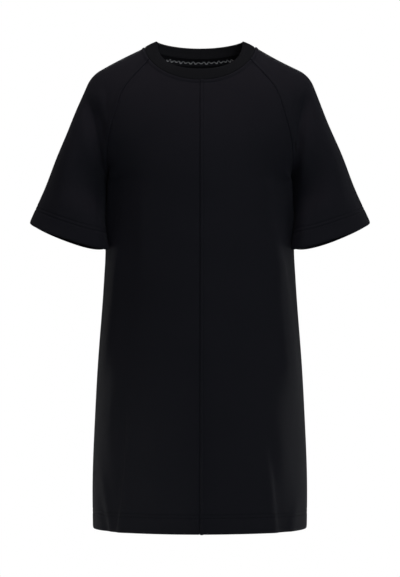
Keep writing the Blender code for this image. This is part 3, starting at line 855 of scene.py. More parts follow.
@dataclass
class ClothPiece:
    """One cut piece of the dress. Its rows run from the hem or cuff to the neck."""

    form: DressForm
    sewing: Sewing
    name: str
    nodes: tuple[str, ...]
    flat: tuple[float, float]
    area: float
    pitch: float = 0.0052
    drift: Drift = field(default_factory=Drift)

    def base(self, row: Array, column: Array) -> Array:
        """The form without folds."""
        raise NotImplementedError

    def base_normal(self, row: Array, column: Array) -> Array:
        """The form's outward direction."""
        raise NotImplementedError

    def creased(self, column: Array, points: Array, calm: Callable[[float], Array]) -> Array:
        """How far the folds and creases lift the cloth, each kind fading beside the seams."""
        raise NotImplementedError

    def relief(self, row: Array, column: Array) -> Array:
        """How far the seams and hems lift or sink the cloth."""
        raise NotImplementedError

    def hem_distance(self, row: Array, column: Array) -> Array:
        """How far up the cloth a place is from the hem's edge."""
        raise NotImplementedError

    def grid(self) -> tuple[Array, Array]:
        """The piece's rows and columns."""
        raise NotImplementedError

    def apart(self, row: Array, column: Array, edge_row: Array, edge_column: Array) -> Array:
        """The straight distance between places and others at an edge."""
        row, column = np.broadcast_arrays(row, column)
        edge = self.base(*np.broadcast_arrays(edge_row, edge_column))
        return np.linalg.norm(self.base(row, column) - edge, axis=-1)

    def folded(self, row: Array, column: Array) -> tuple[Array, Array]:
        """Points of the form with its folds, and its outward directions."""
        row, column = np.broadcast_arrays(np.asarray(row, float), np.asarray(column, float))
        points = self.base(row, column)
        normals = self.base_normal(row, column)

        def calm(width: float) -> Array:
            """1 away from the piece's two seams, falling to 0 at them over a width."""
            return np.clip((1 - np.abs(column)) / width, 0, 1)

        lift = self.creased(column, points, calm) * np.abs(normals[..., 1])
        lift = lift + self.drift.lift(points) * smooth(calm(self.sewing.drift_calm)) ** 2
        return points + lift[..., None] * normals, normals

    def outer(self, row: Array, column: Array) -> Array:
        """Points of the finished outer side."""
        points, normals = self.folded(row, column)
        return points + self.relief(row, column)[..., None] * normals

    def outer_normal(self, row: Array, column: Array) -> Array:
        """Outward directions of the finished outer side."""
        normals = slope_normals(self.outer, row, column)
        facing = np.sum(normals * self.base_normal(row, column), axis=-1, keepdims=True)
        return normals * np.sign(facing)

    def build(self, face: bpy.types.Material, inside: bpy.types.Material) -> bpy.types.Object:
        """Makes the piece as a closed shell with a rounded hem.

        Args:
            face: the cloth's smooth side.
            inside: its looped side.

        Returns:
            The object.
        """
        rows, columns = self.grid()
        row, column = np.meshgrid(rows, columns, indexing="ij")
        points, normals = self.folded(row, column)
        outer = points + self.relief(row, column)[..., None] * normals
        hem = self.hem_distance(row, column)
        inner = points - self.sewing.wall(hem)[..., None] * normals
        middle, half = (outer[0] + inner[0]) / 2, (outer[0] - inner[0]) / 2
        down = unit(points[0] - points[1]) * np.linalg.norm(half, axis=-1, keepdims=True)
        fold = [
            middle - half * math.cos(math.radians(turn)) + down * math.sin(math.radians(turn))
            for turn in HEM_FOLD_TURNS
        ]
        ring = np.concatenate((outer, inner[::-1], fold))
        faces, inner_faces = self.faces(len(rows), len(columns), len(ring), self.flipped(outer, normals))
        thing = add_mesh(self.name, ring, faces)
        across, along = run_length(points, 1), run_length(points, 0)
        across = across - across[:, [int(np.argmin(np.abs(columns)))]]
        places = np.stack((across, along), axis=-1)
        set_uv(thing, np.concatenate((places, places[::-1], [places[0]] * len(fold))))
        for material in (face, inside):
            thing.data.materials.append(material)
        above_hem = int(np.searchsorted(hem[:, 0], self.sewing.hem_turn + self.sewing.hem_step))
        looped = np.zeros(len(faces), np.int32)
        looped[:inner_faces.size] = (inner_faces > 0) & (inner_faces < len(rows) - above_hem)
        thing.data.polygons.foreach_set("material_index", looped)
        thing.data.set_sharp_from_angle(angle=math.radians(62))
        return thing

    @staticmethod
    def flipped(outer: Array, normals: Array) -> bool:
        """Whether faces in the grid's own order would point inward."""
        across, along = outer[1, 1] - outer[1, 0], outer[2, 0] - outer[1, 0]
        return bool(np.dot(np.cross(across, along), normals[1, 0]) < 0)

    @staticmethod
    def faces(rows: int, columns: int, ring: int, flip: bool) -> tuple[list[tuple[int, ...]], Array]:
        """Faces of a shell whose rows go round from the outer side to the inner one and back.

        Args:
            rows: rows of one side.
            columns: points in a row.
            ring: rows all the way round.
            flip: turns every face over.

        Returns:
            The faces, and for those of the two sides how far they are past the neck edge, as rows.
        """
        made: list[tuple[int, ...]] = []
        past: list[int] = []
        for t in range(ring):
            a, b = t * columns, ((t + 1) % ring) * columns
            made += [(a + c, a + c + 1, b + c + 1, b + c) for c in range(columns - 1)]
            past += [t - rows + 1 if t < 2 * rows - 1 else 0] * (columns - 1)
        for c, turned in ((0, False), (columns - 1, True)):
            caps = [
                tuple(t * columns + c for t in (i, i + 1, 2 * rows - 2 - i, 2 * rows - 1 - i))
                for i in range(rows - 1)
            ]
            caps.append(tuple(t * columns + c for t in (0, *range(2 * rows - 1, ring))))
            made += [cap[::-1] if turned else cap for cap in caps]
        return ([face[::-1] for face in made] if flip else made), np.array(past)


@dataclass(frozen=True)
class SeamAllowances:
    """The two overlocked edges inside a seam, pressed flat under the piece that carries them."""

    cloth: bpy.types.Material
    width: float = 0.0078
    across: float = 0.0016
    thickness: float = 0.0011
    under: float = 0.00005

    def sew(
        self, name: str, piece: ClothPiece, seams: Sequence[tuple[Array, Array, Array, Array]]
    ) -> bpy.types.Object:
        """Makes the strips of one piece.

        Args:
            name: their own name.
            piece: the cloth that they lie under.
            seams: for each, the rows and columns of the seam, then of the same line a step inward.

        Returns:
            The object.
        """
        points: list[Array] = []
        faces: list[tuple[int, ...]] = []
        section = ((-self.across, 0.0), (0.0, 0.0), (self.width / 2, 0.0), (self.width, 0.1),
                   (self.width, 1.0), (self.width / 2, 1.0), (0.0, 1.0), (-self.across, 1.0))
        for row, column, row_in, column_in in seams:
            edge, normal = piece.folded(row, column)
            inside, _ = piece.folded(row_in, column_in)
            inward = unit(inside - edge)
            start, count = sum(len(p) for p in points), len(section)
            rings = []
            for aside, depth in section:
                down = piece.sewing.knit + self.under + depth * self.thickness
                rings.append(edge + inward * aside - normal * down)
            points.append(np.array(rings).transpose(1, 0, 2).reshape(-1, 3))
            faces += tube_faces(start, len(edge), count)
        thing = add_mesh(name, np.concatenate(points), faces)
        thing.data.materials.append(self.cloth)
        thing.data.set_sharp_from_angle(angle=math.radians(50))
        set_uv(thing, strip_places(thing))
        return thing


def strip_places(thing: bpy.types.Object) -> Array:
    """A place on the cloth for each vertex of a narrow strip: across and up the garment."""
    places = np.zeros(len(thing.data.vertices) * 3)
    thing.data.vertices.foreach_get("co", places)
    return places.reshape(-1, 3)[:, (0, 2)]


@dataclass
class BodyPanel(ClothPiece):
    """A front half or the whole back. side is None for the back."""

    face: Face = Face.FRONT
    side: Side | None = None
    wide_folds: tuple[Fold, ...] = ()
    creases: tuple[Fold, ...] = ()

    def base(self, row: Array, column: Array) -> Array:
        """The form without folds."""
        return self.form.panel(self.face, row, column)

    def base_normal(self, row: Array, column: Array) -> Array:
        """The form's outward direction."""
        return -self.face.sign * slope_normals(self.base, row, column)

    def creased(self, column: Array, points: Array, calm: Callable[[float], Array]) -> Array:
        """How far the folds and creases lift the cloth."""
        sewing = self.sewing
        wide, fine = lifted(self.wide_folds, points), lifted(self.creases, points)
        return wide * calm(sewing.fold_calm) + fine * calm(sewing.crease_calm)

    def hem_distance(self, row: Array, column: Array) -> Array:
        """How far up the cloth a place is from the hem's edge."""
        return (row + 1) * self.form.body_length + 0 * column

    def relief(self, row: Array, column: Array) -> Array:
        """How far the seams, the hem and the fold beside the sleeve lift or sink the cloth."""
        sewing = self.sewing
        edge = np.where(column < 0, -1.0, 1.0)
        below = sewing.side_roll * smooth((-row - sewing.side_touch) / sewing.side_fade)
        depth = np.where(row < 0, below, smooth(row / sewing.raglan_fade))
        total = sewing.rolled(self.apart(row, column, row, edge), depth)
        neck = self.apart(row, column, np.ones_like(row), column)
        total = total + sewing.rolled(neck) + sewing.pressed(neck, sewing.neck_topstitch)
        if self.side is not None:
            middle = self.apart(row, column, row, np.zeros_like(column))
            total = total + sewing.rolled(middle)
            if self.side is Side.LEFT:
                total = total + sewing.pressed(middle, sewing.topstitch)
            total = total + self.form.edge_fold.lift(row, np.abs(column))
        return total + sewing.hemmed(self.hem_distance(row, column), sewing.hem_rows)

    def grid(self) -> tuple[Array, Array]:
        """The panel's rows and columns, close together at its seams and hem."""
        form = self.form
        hem = hem_places(self.sewing.hem_rows, self.sewing.hem_turn, form.body_length, self.pitch)
        middle = np.meshgrid(np.linspace(0, 1, LENGTH_STEPS), [0.0], indexing="ij")
        yoke_length = run_length(self.base(*middle), 0)[-1, 0]
        yoke = 1 - spaced(FINE_STEPS, yoke_length, self.pitch)[::-1] / yoke_length
        half_row = form.body.read("half_width", form.underarm_height) * ROW_LENGTH
        seam_side = 1 - spaced(FINE_STEPS, half_row / 2, self.pitch)[::-1] / half_row
        open_side = spaced(FINE_STEPS, half_row / 2, self.pitch) / half_row
        if self.side is None:
            open_side = np.linspace(0, 0.5, max(2, round(half_row / 2 / self.pitch)))
        half = np.concatenate((open_side, seam_side[1:]))
        columns = np.concatenate((-half[:0:-1], half)) if self.side is None else half * self.side.sign
        rows = np.concatenate((-1 + hem / form.body_length, yoke[1:]))
        return rows, columns


@dataclass
class Sleeve(ClothPiece):
    """A raglan sleeve, cut in one piece and sewn to a tube below the underarm."""

    side: Side = Side.LEFT
    hang_from: float = 0.55
    hang_to: float = 1.35
    hang_calm: float = 0.12
    half_row: float = 0.19

    def hanging(self, row: Array, column: Array) -> Array:
        """The form where its cloth hangs in one smooth curve past the underarm's hollow."""
        span = self.hang_to - self.hang_from
        share = np.clip((row - self.hang_from) / span, 0, 1)
        ends = []
        for end in (self.hang_from, self.hang_to):
            here = self.form.sleeve(np.full_like(column, end), column)
            ahead = self.form.sleeve(np.full_like(column, end + STEP), column)
            ends.append((here, (ahead - here) / STEP * span / 3))
        (first, leaving), (last, arriving) = ends
        return cubic((first, first + leaving, last - arriving, last), share)

    def base(self, row: Array, column: Array) -> Array:
        """The form without folds, where the cloth hangs past the hollow of the underarm."""
        row, column = np.broadcast_arrays(np.asarray(row, float), np.asarray(column, float))
        points = self.form.sleeve(row, column)
        between = (row > self.hang_from) & (row < self.hang_to)
        loose = smooth((1 - np.abs(column)) / self.hang_calm) * between
        moved = loose > 0
        hung = self.hanging(row[moved], column[moved])
        points[moved] += (hung - points[moved]) * loose[moved][:, None]
        return points * np.array((self.side.sign, 1.0, 1.0))

    def base_normal(self, row: Array, column: Array) -> Array:
        """The form's outward direction."""
        return -self.side.sign * slope_normals(self.base, row, column)

    def creased(self, column: Array, points: Array, calm: Callable[[float], Array]) -> Array:
        """How far the folds and creases lift the cloth, front and back."""
        sewing = self.sewing
        total = np.zeros(points.shape[:-1])
        for on_face, wide, fine in (
            (column < 0, SLEEVE_FRONT_FOLDS, SLEEVE_FRONT_CREASES),
            (column >= 0, SLEEVE_BACK_FOLDS, SLEEVE_BACK_CREASES),
        ):
            lift = lifted(wide, points) * calm(sewing.fold_calm)
            lift = lift + lifted(fine, points) * calm(sewing.crease_calm)
            total = np.where(on_face, lift, total)
        return total

    def hem_distance(self, row: Array, column: Array) -> Array:
        """How far up the cloth a place is from the cuff's edge."""
        return (2 - row) * self.form.tube_length + 0 * column

    def relief(self, row: Array, column: Array) -> Array:
        """How far the seams and the cuff lift or sink the cloth."""
        sewing = self.sewing
        edge = np.where(column < 0, -1.0, 1.0)
        seam = self.apart(row, column, row, edge)
        neck = self.apart(row, column, np.zeros_like(row), column)
        raglan = smooth((1.0 - row) / sewing.raglan_fade)
        total = sewing.rolled(seam, raglan) + sewing.pressed(seam, sewing.topstitch) * raglan
        total = total + sewing.rolled(neck) + sewing.pressed(neck, sewing.neck_topstitch)
        return total + sewing.hemmed(self.hem_distance(row, column), sewing.cuff_rows)

    def grid(self) -> tuple[Array, Array]:
        """The sleeve's rows and columns, close together at its seams and cuff."""
        form = self.form
        cuff = hem_places(self.sewing.cuff_rows, self.sewing.hem_turn, form.tube_length, self.pitch)
        yoke = spaced(FINE_STEPS, form.yoke_top_length, self.pitch)[::-1] / form.yoke_top_length
        half = 1 - spaced(FINE_STEPS, self.half_row, self.pitch)[::-1] / self.half_row
        return (
            np.concatenate((2 - cuff / form.tube_length, yoke[1:])),
            np.concatenate((-half[:0:-1], half)),
        )


# ---------------------------------------------------------------- neckband and tape

@dataclass
class Neckband:
    """The folded ring of rib, sewn to the neck edge."""

    form: DressForm
    thickness: float = 0.0028
    top_half_width: float = 0.0770
    top_rise: float = 0.0108
    top_front: tuple[float, float] = (-0.0770, -0.0440)
    top_back: tuple[float, float] = (0.0620, 0.0035)
    top_lean: float = 0.50
    bow: float = 0.0008
    turn: float = 0.35
    seam_gap: float = 0.00015
    ribs: int = 292
    rib_steps: int = 6
    rib_height: float = 0.00032
    rib_level: float = 0.7
    rib_fade: float = 0.1
    join_depth: float = 0.0006
    join_width: float = 0.0012
    flat: tuple[float, float] = (0.56, 0.027)

    def top_quarter(self, face: Face) -> tuple[Array, ...]:
        """The folded edge's curve from the middle of a face to the shoulder, as control points."""
        middle = self.top_front if face is Face.FRONT else self.top_back
        centre = np.array((0.0, *middle))
        end = np.array((self.top_half_width, 0.0, self.top_rise))
        fall = self.top_lean * abs(middle[0]) if face is Face.FRONT else 0.0
        return (
            centre,
            centre + np.array((self.form.centre_handle * self.top_half_width, 0.0, 0.0)),
            end + np.array((0.0, self.form.side_handle * middle[0], -fall)),
            end,
        )

    def section(self) -> list[tuple[float, float]]:
        """The band's section: share of its height, and depth under its outer side over its thickness."""
        outside = [(0.0, 0.30), (0.03, 0.12), (0.07, 0.02)]
        outside += [(share, 0.0) for share in np.linspace(0.12, 0.88, 9)]
        fold = [
            (0.93 + 0.07 * math.sin(turn), 0.5 - 0.5 * math.cos(turn))
            for turn in np.radians((20, 45, 70, 90, 110, 135, 160))
        ]
        inside = [(share, 1.0) for share in np.linspace(0.88, 0.0, 9)]
        return outside + fold + inside

    def build(self, rib: bpy.types.Material, inside: bpy.types.Material) -> bpy.types.Object:
        """Makes the band with its ribs and the join at the middle of the back.

        Args:
            rib: the rib's face.
            inside: the same rib where it faces the neck, much lighter in colour: painted light on the shaded
                inner face.

        Returns:
            The object.
        """
        count = self.ribs * self.rib_steps
        around = 0.5 + np.arange(count) / count
        low = self.form.neck_seam(around)
        high = self.form.round_neck(around, self.top_quarter)
        height = np.linalg.norm(high - low, axis=-1, keepdims=True)
        up = unit(high - low)
        ahead = self.form.neck_seam(around + STEP) - self.form.neck_seam(around - STEP)
        out = unit(np.cross(ahead, up))
        at_seam = self.form.neck_normal(around)
        ridge = np.abs(np.cos(math.pi * self.ribs * around))[:, None] - self.rib_level
        girth = run_length(np.concatenate((low, low[:1]))[None], 1)[0]
        from_join = np.minimum(girth[:-1], girth[-1] - girth[:-1])[:, None]
        join = self.join_depth * np.exp(-((from_join / self.join_width) ** 2))
        rings, places = [], []
        travelled = 0.0
        for share, depth in self.section():
            bow = self.bow * 4 * share * (1 - share)
            lift = self.seam_gap + (height - self.seam_gap) * share
            own = min(share / self.turn, 1)
            into = unit(out * own + at_seam * (1 - own))
            side = 1 - 2 * depth
            relief = (self.rib_height * ridge * min(1.0, share / self.rib_fade) - join) * side
            rings.append(low + up * lift + out * bow - into * (depth * self.thickness - relief))
            if len(rings) > 1:
                travelled += float(np.linalg.norm(rings[-1][0] - rings[-2][0]))
            places.append(np.stack((girth[:-1], np.full(count, travelled)), axis=-1))
        faces = []
        for r in range(len(rings)):
            a, b = r * count, ((r + 1) % len(rings)) * count
            faces += [(a + c, a + (c + 1) % count, b + (c + 1) % count, b + c) for c in range(count)]
        thing = add_mesh("neckband_rib", np.array(rings), faces)
        set_uv(thing, np.array(places))
        for material in (rib, inside):
            thing.data.materials.append(material)
        # the faces turned to the neck take the much lighter rib: painted light on the shaded inner face
        turned = [depth > 0.5 for _, depth in self.section()]
        thing.data.polygons.foreach_set("material_index", np.repeat(turned, count).astype(np.int32))
        return thing


@dataclass
class NeckTape:
    """The tape over the back neck seam, inside, with a plain woven wave along it."""

    back: BodyPanel
    half_length: float = 0.072
    width: float = 0.011
    drop: float = 0.0015
    thickness: float = 0.0006
    stand_off: float = 0.0003
    columns: int = 96
    wave_reach: float = 0.0555
    wave_length: float = 0.0078
    wave_height: float = 0.0024
    wave_swell: float = 0.0193
    wave_low: float = 0.4
    wave_points: int = 520
    thread: float = 0.00062
    flat: tuple[float, float] = (0.144, 0.011)

    def place(self, sideways: Array, down: Array, lift: Array | float) -> Array:
        """Points on the tape.

        Args:
            sideways: from the middle of the back, in metres.
            down: from the tape's upper edge, in metres.
            lift: how far towards the wearer from the tape's outer side.

        Returns:
            The points.
        """
        form = self.back.form
        steps = np.linspace(0, 1, LENGTH_STEPS)
        row_length = run_length(form.panel(Face.BACK, np.ones_like(steps), steps)[None], 1)[0, -1]
        yoke_length = run_length(form.panel(Face.BACK, steps, np.zeros_like(steps))[None], 1)[0, -1]
        level = 1 - (self.drop + down) / yoke_length
        across = sideways / row_length
        points, normals = self.back.folded(level, across)
        inset = self.back.sewing.knit + self.stand_off + lift
        return points - normals * np.asarray(inset)[..., None]

    def build(self, weave: bpy.types.Material, pale: bpy.types.Material) -> bpy.types.Object:
        """Makes the tape and its wave as one mesh."""
        section = ((0, 0), (1, 0), (1, 1), (0.75, 1), (0.5, 1), (0.25, 1), (0, 1))
        sideways = np.linspace(-self.half_length, self.half_length, self.columns + 1)
        rings = np.array([
            self.place(sideways, np.full_like(sideways, self.width * down), self.thickness * lift)
            for down, lift in section
        ]).transpose(1, 0, 2)
        count = len(section)
        wave = np.linspace(-self.wave_reach, self.wave_reach, self.wave_points)
        middle = self.width / 2
        swell = np.sin(math.pi * wave / self.wave_swell) ** 2
        tall = self.wave_height * (self.wave_low + (1 - self.wave_low) * swell)
        swing = tall * np.sin(2 * math.pi * wave / self.wave_length)
        lean = np.gradient(swing, wave)
        tube = []
        for turn in np.radians((0, 60, 120, 180, 240, 300)):
            scale = self.thread * math.cos(turn) / np.sqrt(1 + lean ** 2)
            tube.append(self.place(
                wave - lean * scale,
                middle + swing + scale,
                self.thickness + 0.5 * self.thread * math.sin(turn),
            ))
        around = len(tube)
        tape_faces = tube_faces(0, len(rings), count)
        faces = tape_faces + tube_faces(len(rings) * count, self.wave_points, around)
        points = np.concatenate((rings.reshape(-1, 3), np.array(tube).transpose(1, 0, 2).reshape(-1, 3)))
        thing = add_mesh("neck_tape_woven", points, faces)
        across = [share * self.width for share, _ in section]
        on_tape = np.stack(np.broadcast_arrays(sideways[:, None], across), -1).reshape(-1, 2)
        set_uv(thing, np.concatenate((on_tape, np.repeat(np.stack((wave, swing), -1), around, axis=0))))
        for material in (weave, pale):
            thing.data.materials.append(material)
        index = np.zeros(len(faces), np.int32)
        index[len(tape_faces):] = 1
        thing.data.polygons.foreach_set("material_index", index)
        thing.data.set_sharp_from_angle(angle=math.radians(50))
        return thing


# ---------------------------------------------------------------- stitching

@dataclass
class Stitching:
    """Rows of sewn stitches, each one a small rounded bar lying in the cloth."""

    thread: bpy.types.Material
    length: float = 0.0027
    gap: float = 0.0006
    half_width: float = 0.00030
    half_height: float = 0.00022
    sides: int = 6
    sink: float = 0.00012
    ends: tuple[tuple[float, float], ...] = ((-1.0, 0.45), (-0.55, 1.0), (0.55, 1.0), (1.0, 0.45))

    def bars(self, path: Array, normals: Array) -> tuple[Array, list[tuple[int, ...]]]:
        """The stitches along one path.

        Args:
            path: points close together on the cloth.
            normals: the cloth's outward direction at each.

        Returns:
            The bars' points and faces.
        """
        run = run_length(path[None], 1)[0]
        count = int(run[-1] / (self.length + self.gap))
        middles = (np.arange(count) + 0.5) * run[-1] / count

        def read(values: Array, at: Array) -> Array:
            """The values at lengths along the path."""
            return np.stack([np.interp(at, run, values[:, i]) for i in range(3)], axis=-1)

        half = self.length / 2
        rings = []
        for share, size in self.ends:
            centre = read(path, middles + share * half)
            up = unit(read(normals, middles + share * half))
            ahead = unit(read(path, middles + half) - read(path, middles - half))
            aside = unit(np.cross(up, ahead))
            for turn in np.arange(self.sides) * 2 * math.pi / self.sides:
                rings.append(
                    centre
                    + aside * (size * self.half_width * math.cos(turn))
                    + up * (size * self.half_height * math.sin(turn) - self.sink)
                )
        points = np.array(rings).transpose(1, 0, 2)
        faces: list[tuple[int, ...]] = []
        for s in range(count):
            faces += tube_faces(s * len(rings), len(self.ends), self.sides)
        return points.reshape(-1, 3), faces

    def sew(self, name: str, piece: ClothPiece, paths: Sequence[tuple[Array, Array]]) -> bpy.types.Object:
        """Sews rows of stitches on a piece.

        Args:
            name: the stitching's own name.
            piece: what it is sewn on.
            paths: each row's places on the piece, as its rows and columns.

        Returns:
            The object.
        """
        points: list[Array] = []
        faces: list[tuple[int, ...]] = []
        for row, column in paths:
            row, column = np.broadcast_arrays(row, column)
            path = piece.outer(row, column)
            made, bars = self.bars(path, piece.outer_normal(row, column))
            start = sum(len(p) for p in points)
            faces += [tuple(start + i for i in face) for face in bars]
            points.append(made)
        thing = add_mesh(name, np.concatenate(points), faces)
        thing.data.materials.append(self.thread)
        return thing


PATH_POINTS = 400
PROBE = 0.01  # share of a row or column, over which a path's distance is measured


def beside_edge(piece: ClothPiece, rows: Array, edge: float, distance: float) -> tuple[Array, Array]:
    """A path at a distance from a piece's seam.

    Args:
        piece: the cloth.
        rows: the rows that it passes.
        edge: the seam's column.
        distance: from the seam, in metres.

    Returns:
        Its rows and columns.
    """
    inward = -np.sign(edge) if edge else float(np.sign(piece.grid()[1].sum()))
    beside = piece.base(rows, np.full_like(rows, edge + inward * PROBE))
    speed = np.linalg.norm(beside - piece.base(rows, np.full_like(rows, edge)), axis=-1) / PROBE
    return rows, edge + inward * distance / speed


def below_neck(
    piece: ClothPiece, columns: Array, neck: float, inward: float, distance: float
) -> tuple[Array, Array]:
    """A path at a distance from the neck edge, as beside_edge gives one."""
    row = np.full_like(columns, neck)
    beside = piece.base(row + inward * PROBE, columns)
    speed = np.linalg.norm(beside - piece.base(row, columns), axis=-1) / PROBE
    return neck + inward * distance / speed, columns


# ---------------------------------------------------------------- finishes

class Graph:
    """A node tree, with short ways to add what the finishes need."""

    def __init__(self, tree: bpy.types.NodeTree) -> None:
        """Wraps a node tree."""
        self.tree = tree

    def feed(self, node: bpy.types.Node, inputs: dict[str | int, object]) -> None:
        """Links outputs to a node's inputs, or sets the inputs' values."""
        for socket, value in inputs.items():
            target = node.inputs[socket]
            if isinstance(value, bpy.types.NodeSocket):
                self.tree.links.new(value, target)
            else:
                target.default_value = value

    def add(self, kind: str, inputs: dict[str | int, object], **settings: object) -> bpy.types.Node:
        """Adds a node, sets its properties and feeds its inputs."""
        node = self.tree.nodes.new(kind)
        for name, value in settings.items():
            setattr(node, name, value)
        self.feed(node, inputs)
        return node

    def math(self, operation: str, *values: object) -> bpy.types.NodeSocket:
        """The result of a Math node on sockets or numbers."""
        return self.add("ShaderNodeMath", dict(enumerate(values)), operation=operation).outputs[0]

    def off_middle(self, share: bpy.types.NodeSocket) -> bpy.types.NodeSocket:
        """How far a share is from the middle: 0 there and 1 at either end."""
        return self.math("MULTIPLY", self.math("ABSOLUTE", self.math("SUBTRACT", share, 0.5)), 2.0)

    def bulge(self, offset: bpy.types.NodeSocket) -> bpy.types.NodeSocket:
        """1 where an offset is 0, falling off evenly to 0 where it is 1."""
        return self.math("SUBTRACT", 1.0, self.math("MULTIPLY", offset, offset))

    def noise(
        self, place: bpy.types.NodeSocket, scale: object, detail: float, roughness: float = 0.5
    ) -> bpy.types.NodeSocket:
        """Soft noise from 0 to 1 at a number of features to the metre."""
        inputs = {"Vector": place, "Scale": scale, "Detail": detail, "Roughness": roughness}
        return self.add("ShaderNodeTexNoise", inputs).outputs["Fac"]

    def mixed(self, share: object, first: object, second: object) -> bpy.types.NodeSocket:
        """A colour between two others."""
        inputs = {"Factor": share, 6: first, 7: second}
        return self.add("ShaderNodeMix", inputs, data_type="RGBA").outputs[2]

    def bump(
        self, height: bpy.types.NodeSocket, distance: float, under: bpy.types.NodeSocket | None = None
    ) -> bpy.types.NodeSocket:
        """The normals that a height gives, on top of other normals if there are any."""
        inputs: dict[str | int, object] = {"Height": height, "Distance": distance}
        if under is not None:
            inputs["Normal"] = under
        return self.add("ShaderNodeBump", inputs).outputs["Normal"]

    def use(self, group: bpy.types.NodeTree, **values: object) -> bpy.types.Node:
        """Places a node group and feeds its inputs."""
        return self.add("ShaderNodeGroup", dict(values), node_tree=group)


SOCKET_KINDS = {type(None): "NodeSocketVector", float: "NodeSocketFloat", tuple: "NodeSocketColor"}


def new_group(
    name: str, outputs: Sequence[str], **inputs: object
) -> tuple[Graph, bpy.types.Node, bpy.types.Node]:
    """Starts a shader node group.

    Args:
        name: the group's name.
        outputs: its outputs, which are numbers apart from Colour.
        inputs: its inputs with their first values, where None is a place on the cloth.

    Returns:
        Its graph, its input node and its output node.
    """
    tree = bpy.data.node_groups.new(name, "ShaderNodeTree")
    for label, value in inputs.items():
        kind = SOCKET_KINDS[type(value)]
        socket = tree.interface.new_socket(name=label, in_out="INPUT", socket_type=kind)
        if value is not None:
            socket.default_value = value
    for label in outputs:
        kind = "NodeSocketColor" if label == "Colour" else "NodeSocketFloat"
        tree.interface.new_socket(name=label, in_out="OUTPUT", socket_type=kind)
    graph = Graph(tree)
    return graph, graph.add("NodeGroupInput", {}), graph.add("NodeGroupOutput", {})


class ClothEffects:
    """The node groups that the finishes share."""

    def __init__(self) -> None:
        """Builds each group once."""
        self.knit = self.knit_group()
        self.loops = self.loops_group()
        self.dye_and_shade = self.dye_and_shade_group()
        self.fuzz = self.fuzz_group()
        self.twill = self.twill_group()

    @staticmethod
    def axes(graph: Graph, place: bpy.types.NodeSocket) -> tuple[bpy.types.NodeSocket, bpy.types.NodeSocket]:
        """The two coordinates of a place on the cloth."""
        node = graph.add("ShaderNodeSeparateXYZ", {0: place})
        return node.outputs[0], node.outputs[1]

    @staticmethod
    def give(graph: Graph, result: bpy.types.Node, height: bpy.types.NodeSocket) -> bpy.types.NodeTree:
        """Ends a pattern's group with its height and how deep between the stitches a point lies."""
        graph.feed(result, {"Height": height, "Between": graph.math("SUBTRACT", 1.0, height)})
        return graph.tree

    def knit_group(self) -> bpy.types.NodeTree:
        """Columns of V-shaped stitches."""
        graph, source, result = new_group(
            "knit face", ("Height", "Between"), Place=None, Wale=0.0011, Course=0.0009, Slant=0.85
        )
        u, v = self.axes(graph, source.outputs["Place"])
        wale = graph.math("FRACT", graph.math("DIVIDE", u, source.outputs["Wale"]))
        aside = graph.off_middle(wale)
        slant = graph.math("MULTIPLY", aside, source.outputs["Slant"])
        course = graph.math("DIVIDE", v, source.outputs["Course"])
        leg = graph.off_middle(graph.math("FRACT", graph.math("SUBTRACT", course, slant)))
        off = graph.math("SUBTRACT", graph.math("MULTIPLY", aside, 2.0), 1.0)
        rounded = [graph.math("SQRT", graph.bulge(offset)) for offset in (leg, off)]
        return self.give(graph, result, graph.math("MULTIPLY", *rounded))

    def loops_group(self) -> bpy.types.NodeTree:
        """Rows of small loops, as on the back of sweatshirt knit."""
        graph, source, result = new_group(
            "looped back", ("Height", "Between"), Place=None, Wale=0.0022, Course=0.0018
        )
        u, v = self.axes(graph, source.outputs["Place"])
        course = graph.math("DIVIDE", v, source.outputs["Course"])
        shift = graph.math("MULTIPLY", graph.math("FLOOR", course), 0.5)
        wale = graph.math("ADD", graph.math("DIVIDE", u, source.outputs["Wale"]), shift)
        across = graph.math("SINE", graph.math("MULTIPLY", graph.math("FRACT", wale), math.pi))
        up = graph.math("SINE", graph.math("MULTIPLY", graph.math("FRACT", course), math.pi))
        return self.give(graph, result, graph.math("MULTIPLY", graph.math("SQRT", across), up))

    def dye_and_shade_group(self) -> bpy.types.NodeTree:
        """A colour with the slight unevenness of dyed cloth, and painted shade that darkens it between the
        stitches.
        """
        graph, source, result = new_group(
            "uneven dye", ("Colour",),
            Colour=(0.01, 0.01, 0.01, 1.0), Worn=(0.02, 0.02, 0.02, 1.0), Between=0.0, Amount=0.3,
        )
        place = graph.add("ShaderNodeTexCoord", {}).outputs["Object"]
        both = graph.math("ADD", graph.noise(place, 9.0, 2.0), graph.noise(place, 420.0, 3.0))
        share = graph.math("MULTIPLY", graph.math("MULTIPLY", both, 0.5), source.outputs["Amount"])
        worn = graph.mixed(share, source.outputs["Colour"], source.outputs["Worn"])
        # painted shade: the colour darkens towards black where a point lies deep between the stitches
        shade = graph.math("MULTIPLY", source.outputs["Between"], 0.45)
        graph.feed(result, {"Colour": graph.mixed(shade, worn, (0.0, 0.0, 0.0, 1.0))})
        return graph.tree

    def fuzz_group(self) -> bpy.types.NodeTree:
        """The short stray fibres over the cloth, as a height and a mask."""
        graph, source, result = new_group("stray fibres", ("Height", "Mask"), Place=None, Scale=1500.0)
        fibres = graph.noise(source.outputs["Place"], source.outputs["Scale"], 4.0, 0.65)
        high = graph.math("MAXIMUM", graph.math("SUBTRACT", fibres, 0.52), 0.0)
        graph.feed(result, {"Height": fibres, "Mask": graph.math("MULTIPLY", high, 4.0)})
        return graph.tree

    def twill_group(self) -> bpy.types.NodeTree:
        """The slanted ribs of a woven tape."""
        graph, source, result = new_group("twill", ("Height",), Place=None, Pitch=0.0009)
        u, v = self.axes(graph, source.outputs["Place"])
        slant = graph.math("DIVIDE", graph.math("ADD", u, v), source.outputs["Pitch"])
        wave = graph.math("SINE", graph.math("MULTIPLY", slant, 2 * math.pi))
        graph.feed(result, {"Height": graph.math("MULTIPLY_ADD", wave, 0.5, 0.5)})
        return graph.tree


class Pattern(Enum):
    """What covers a cloth's surface."""

    KNIT = "knit"
    LOOPS = "loops"
    TWILL = "twill"
    PLAIN = "plain"


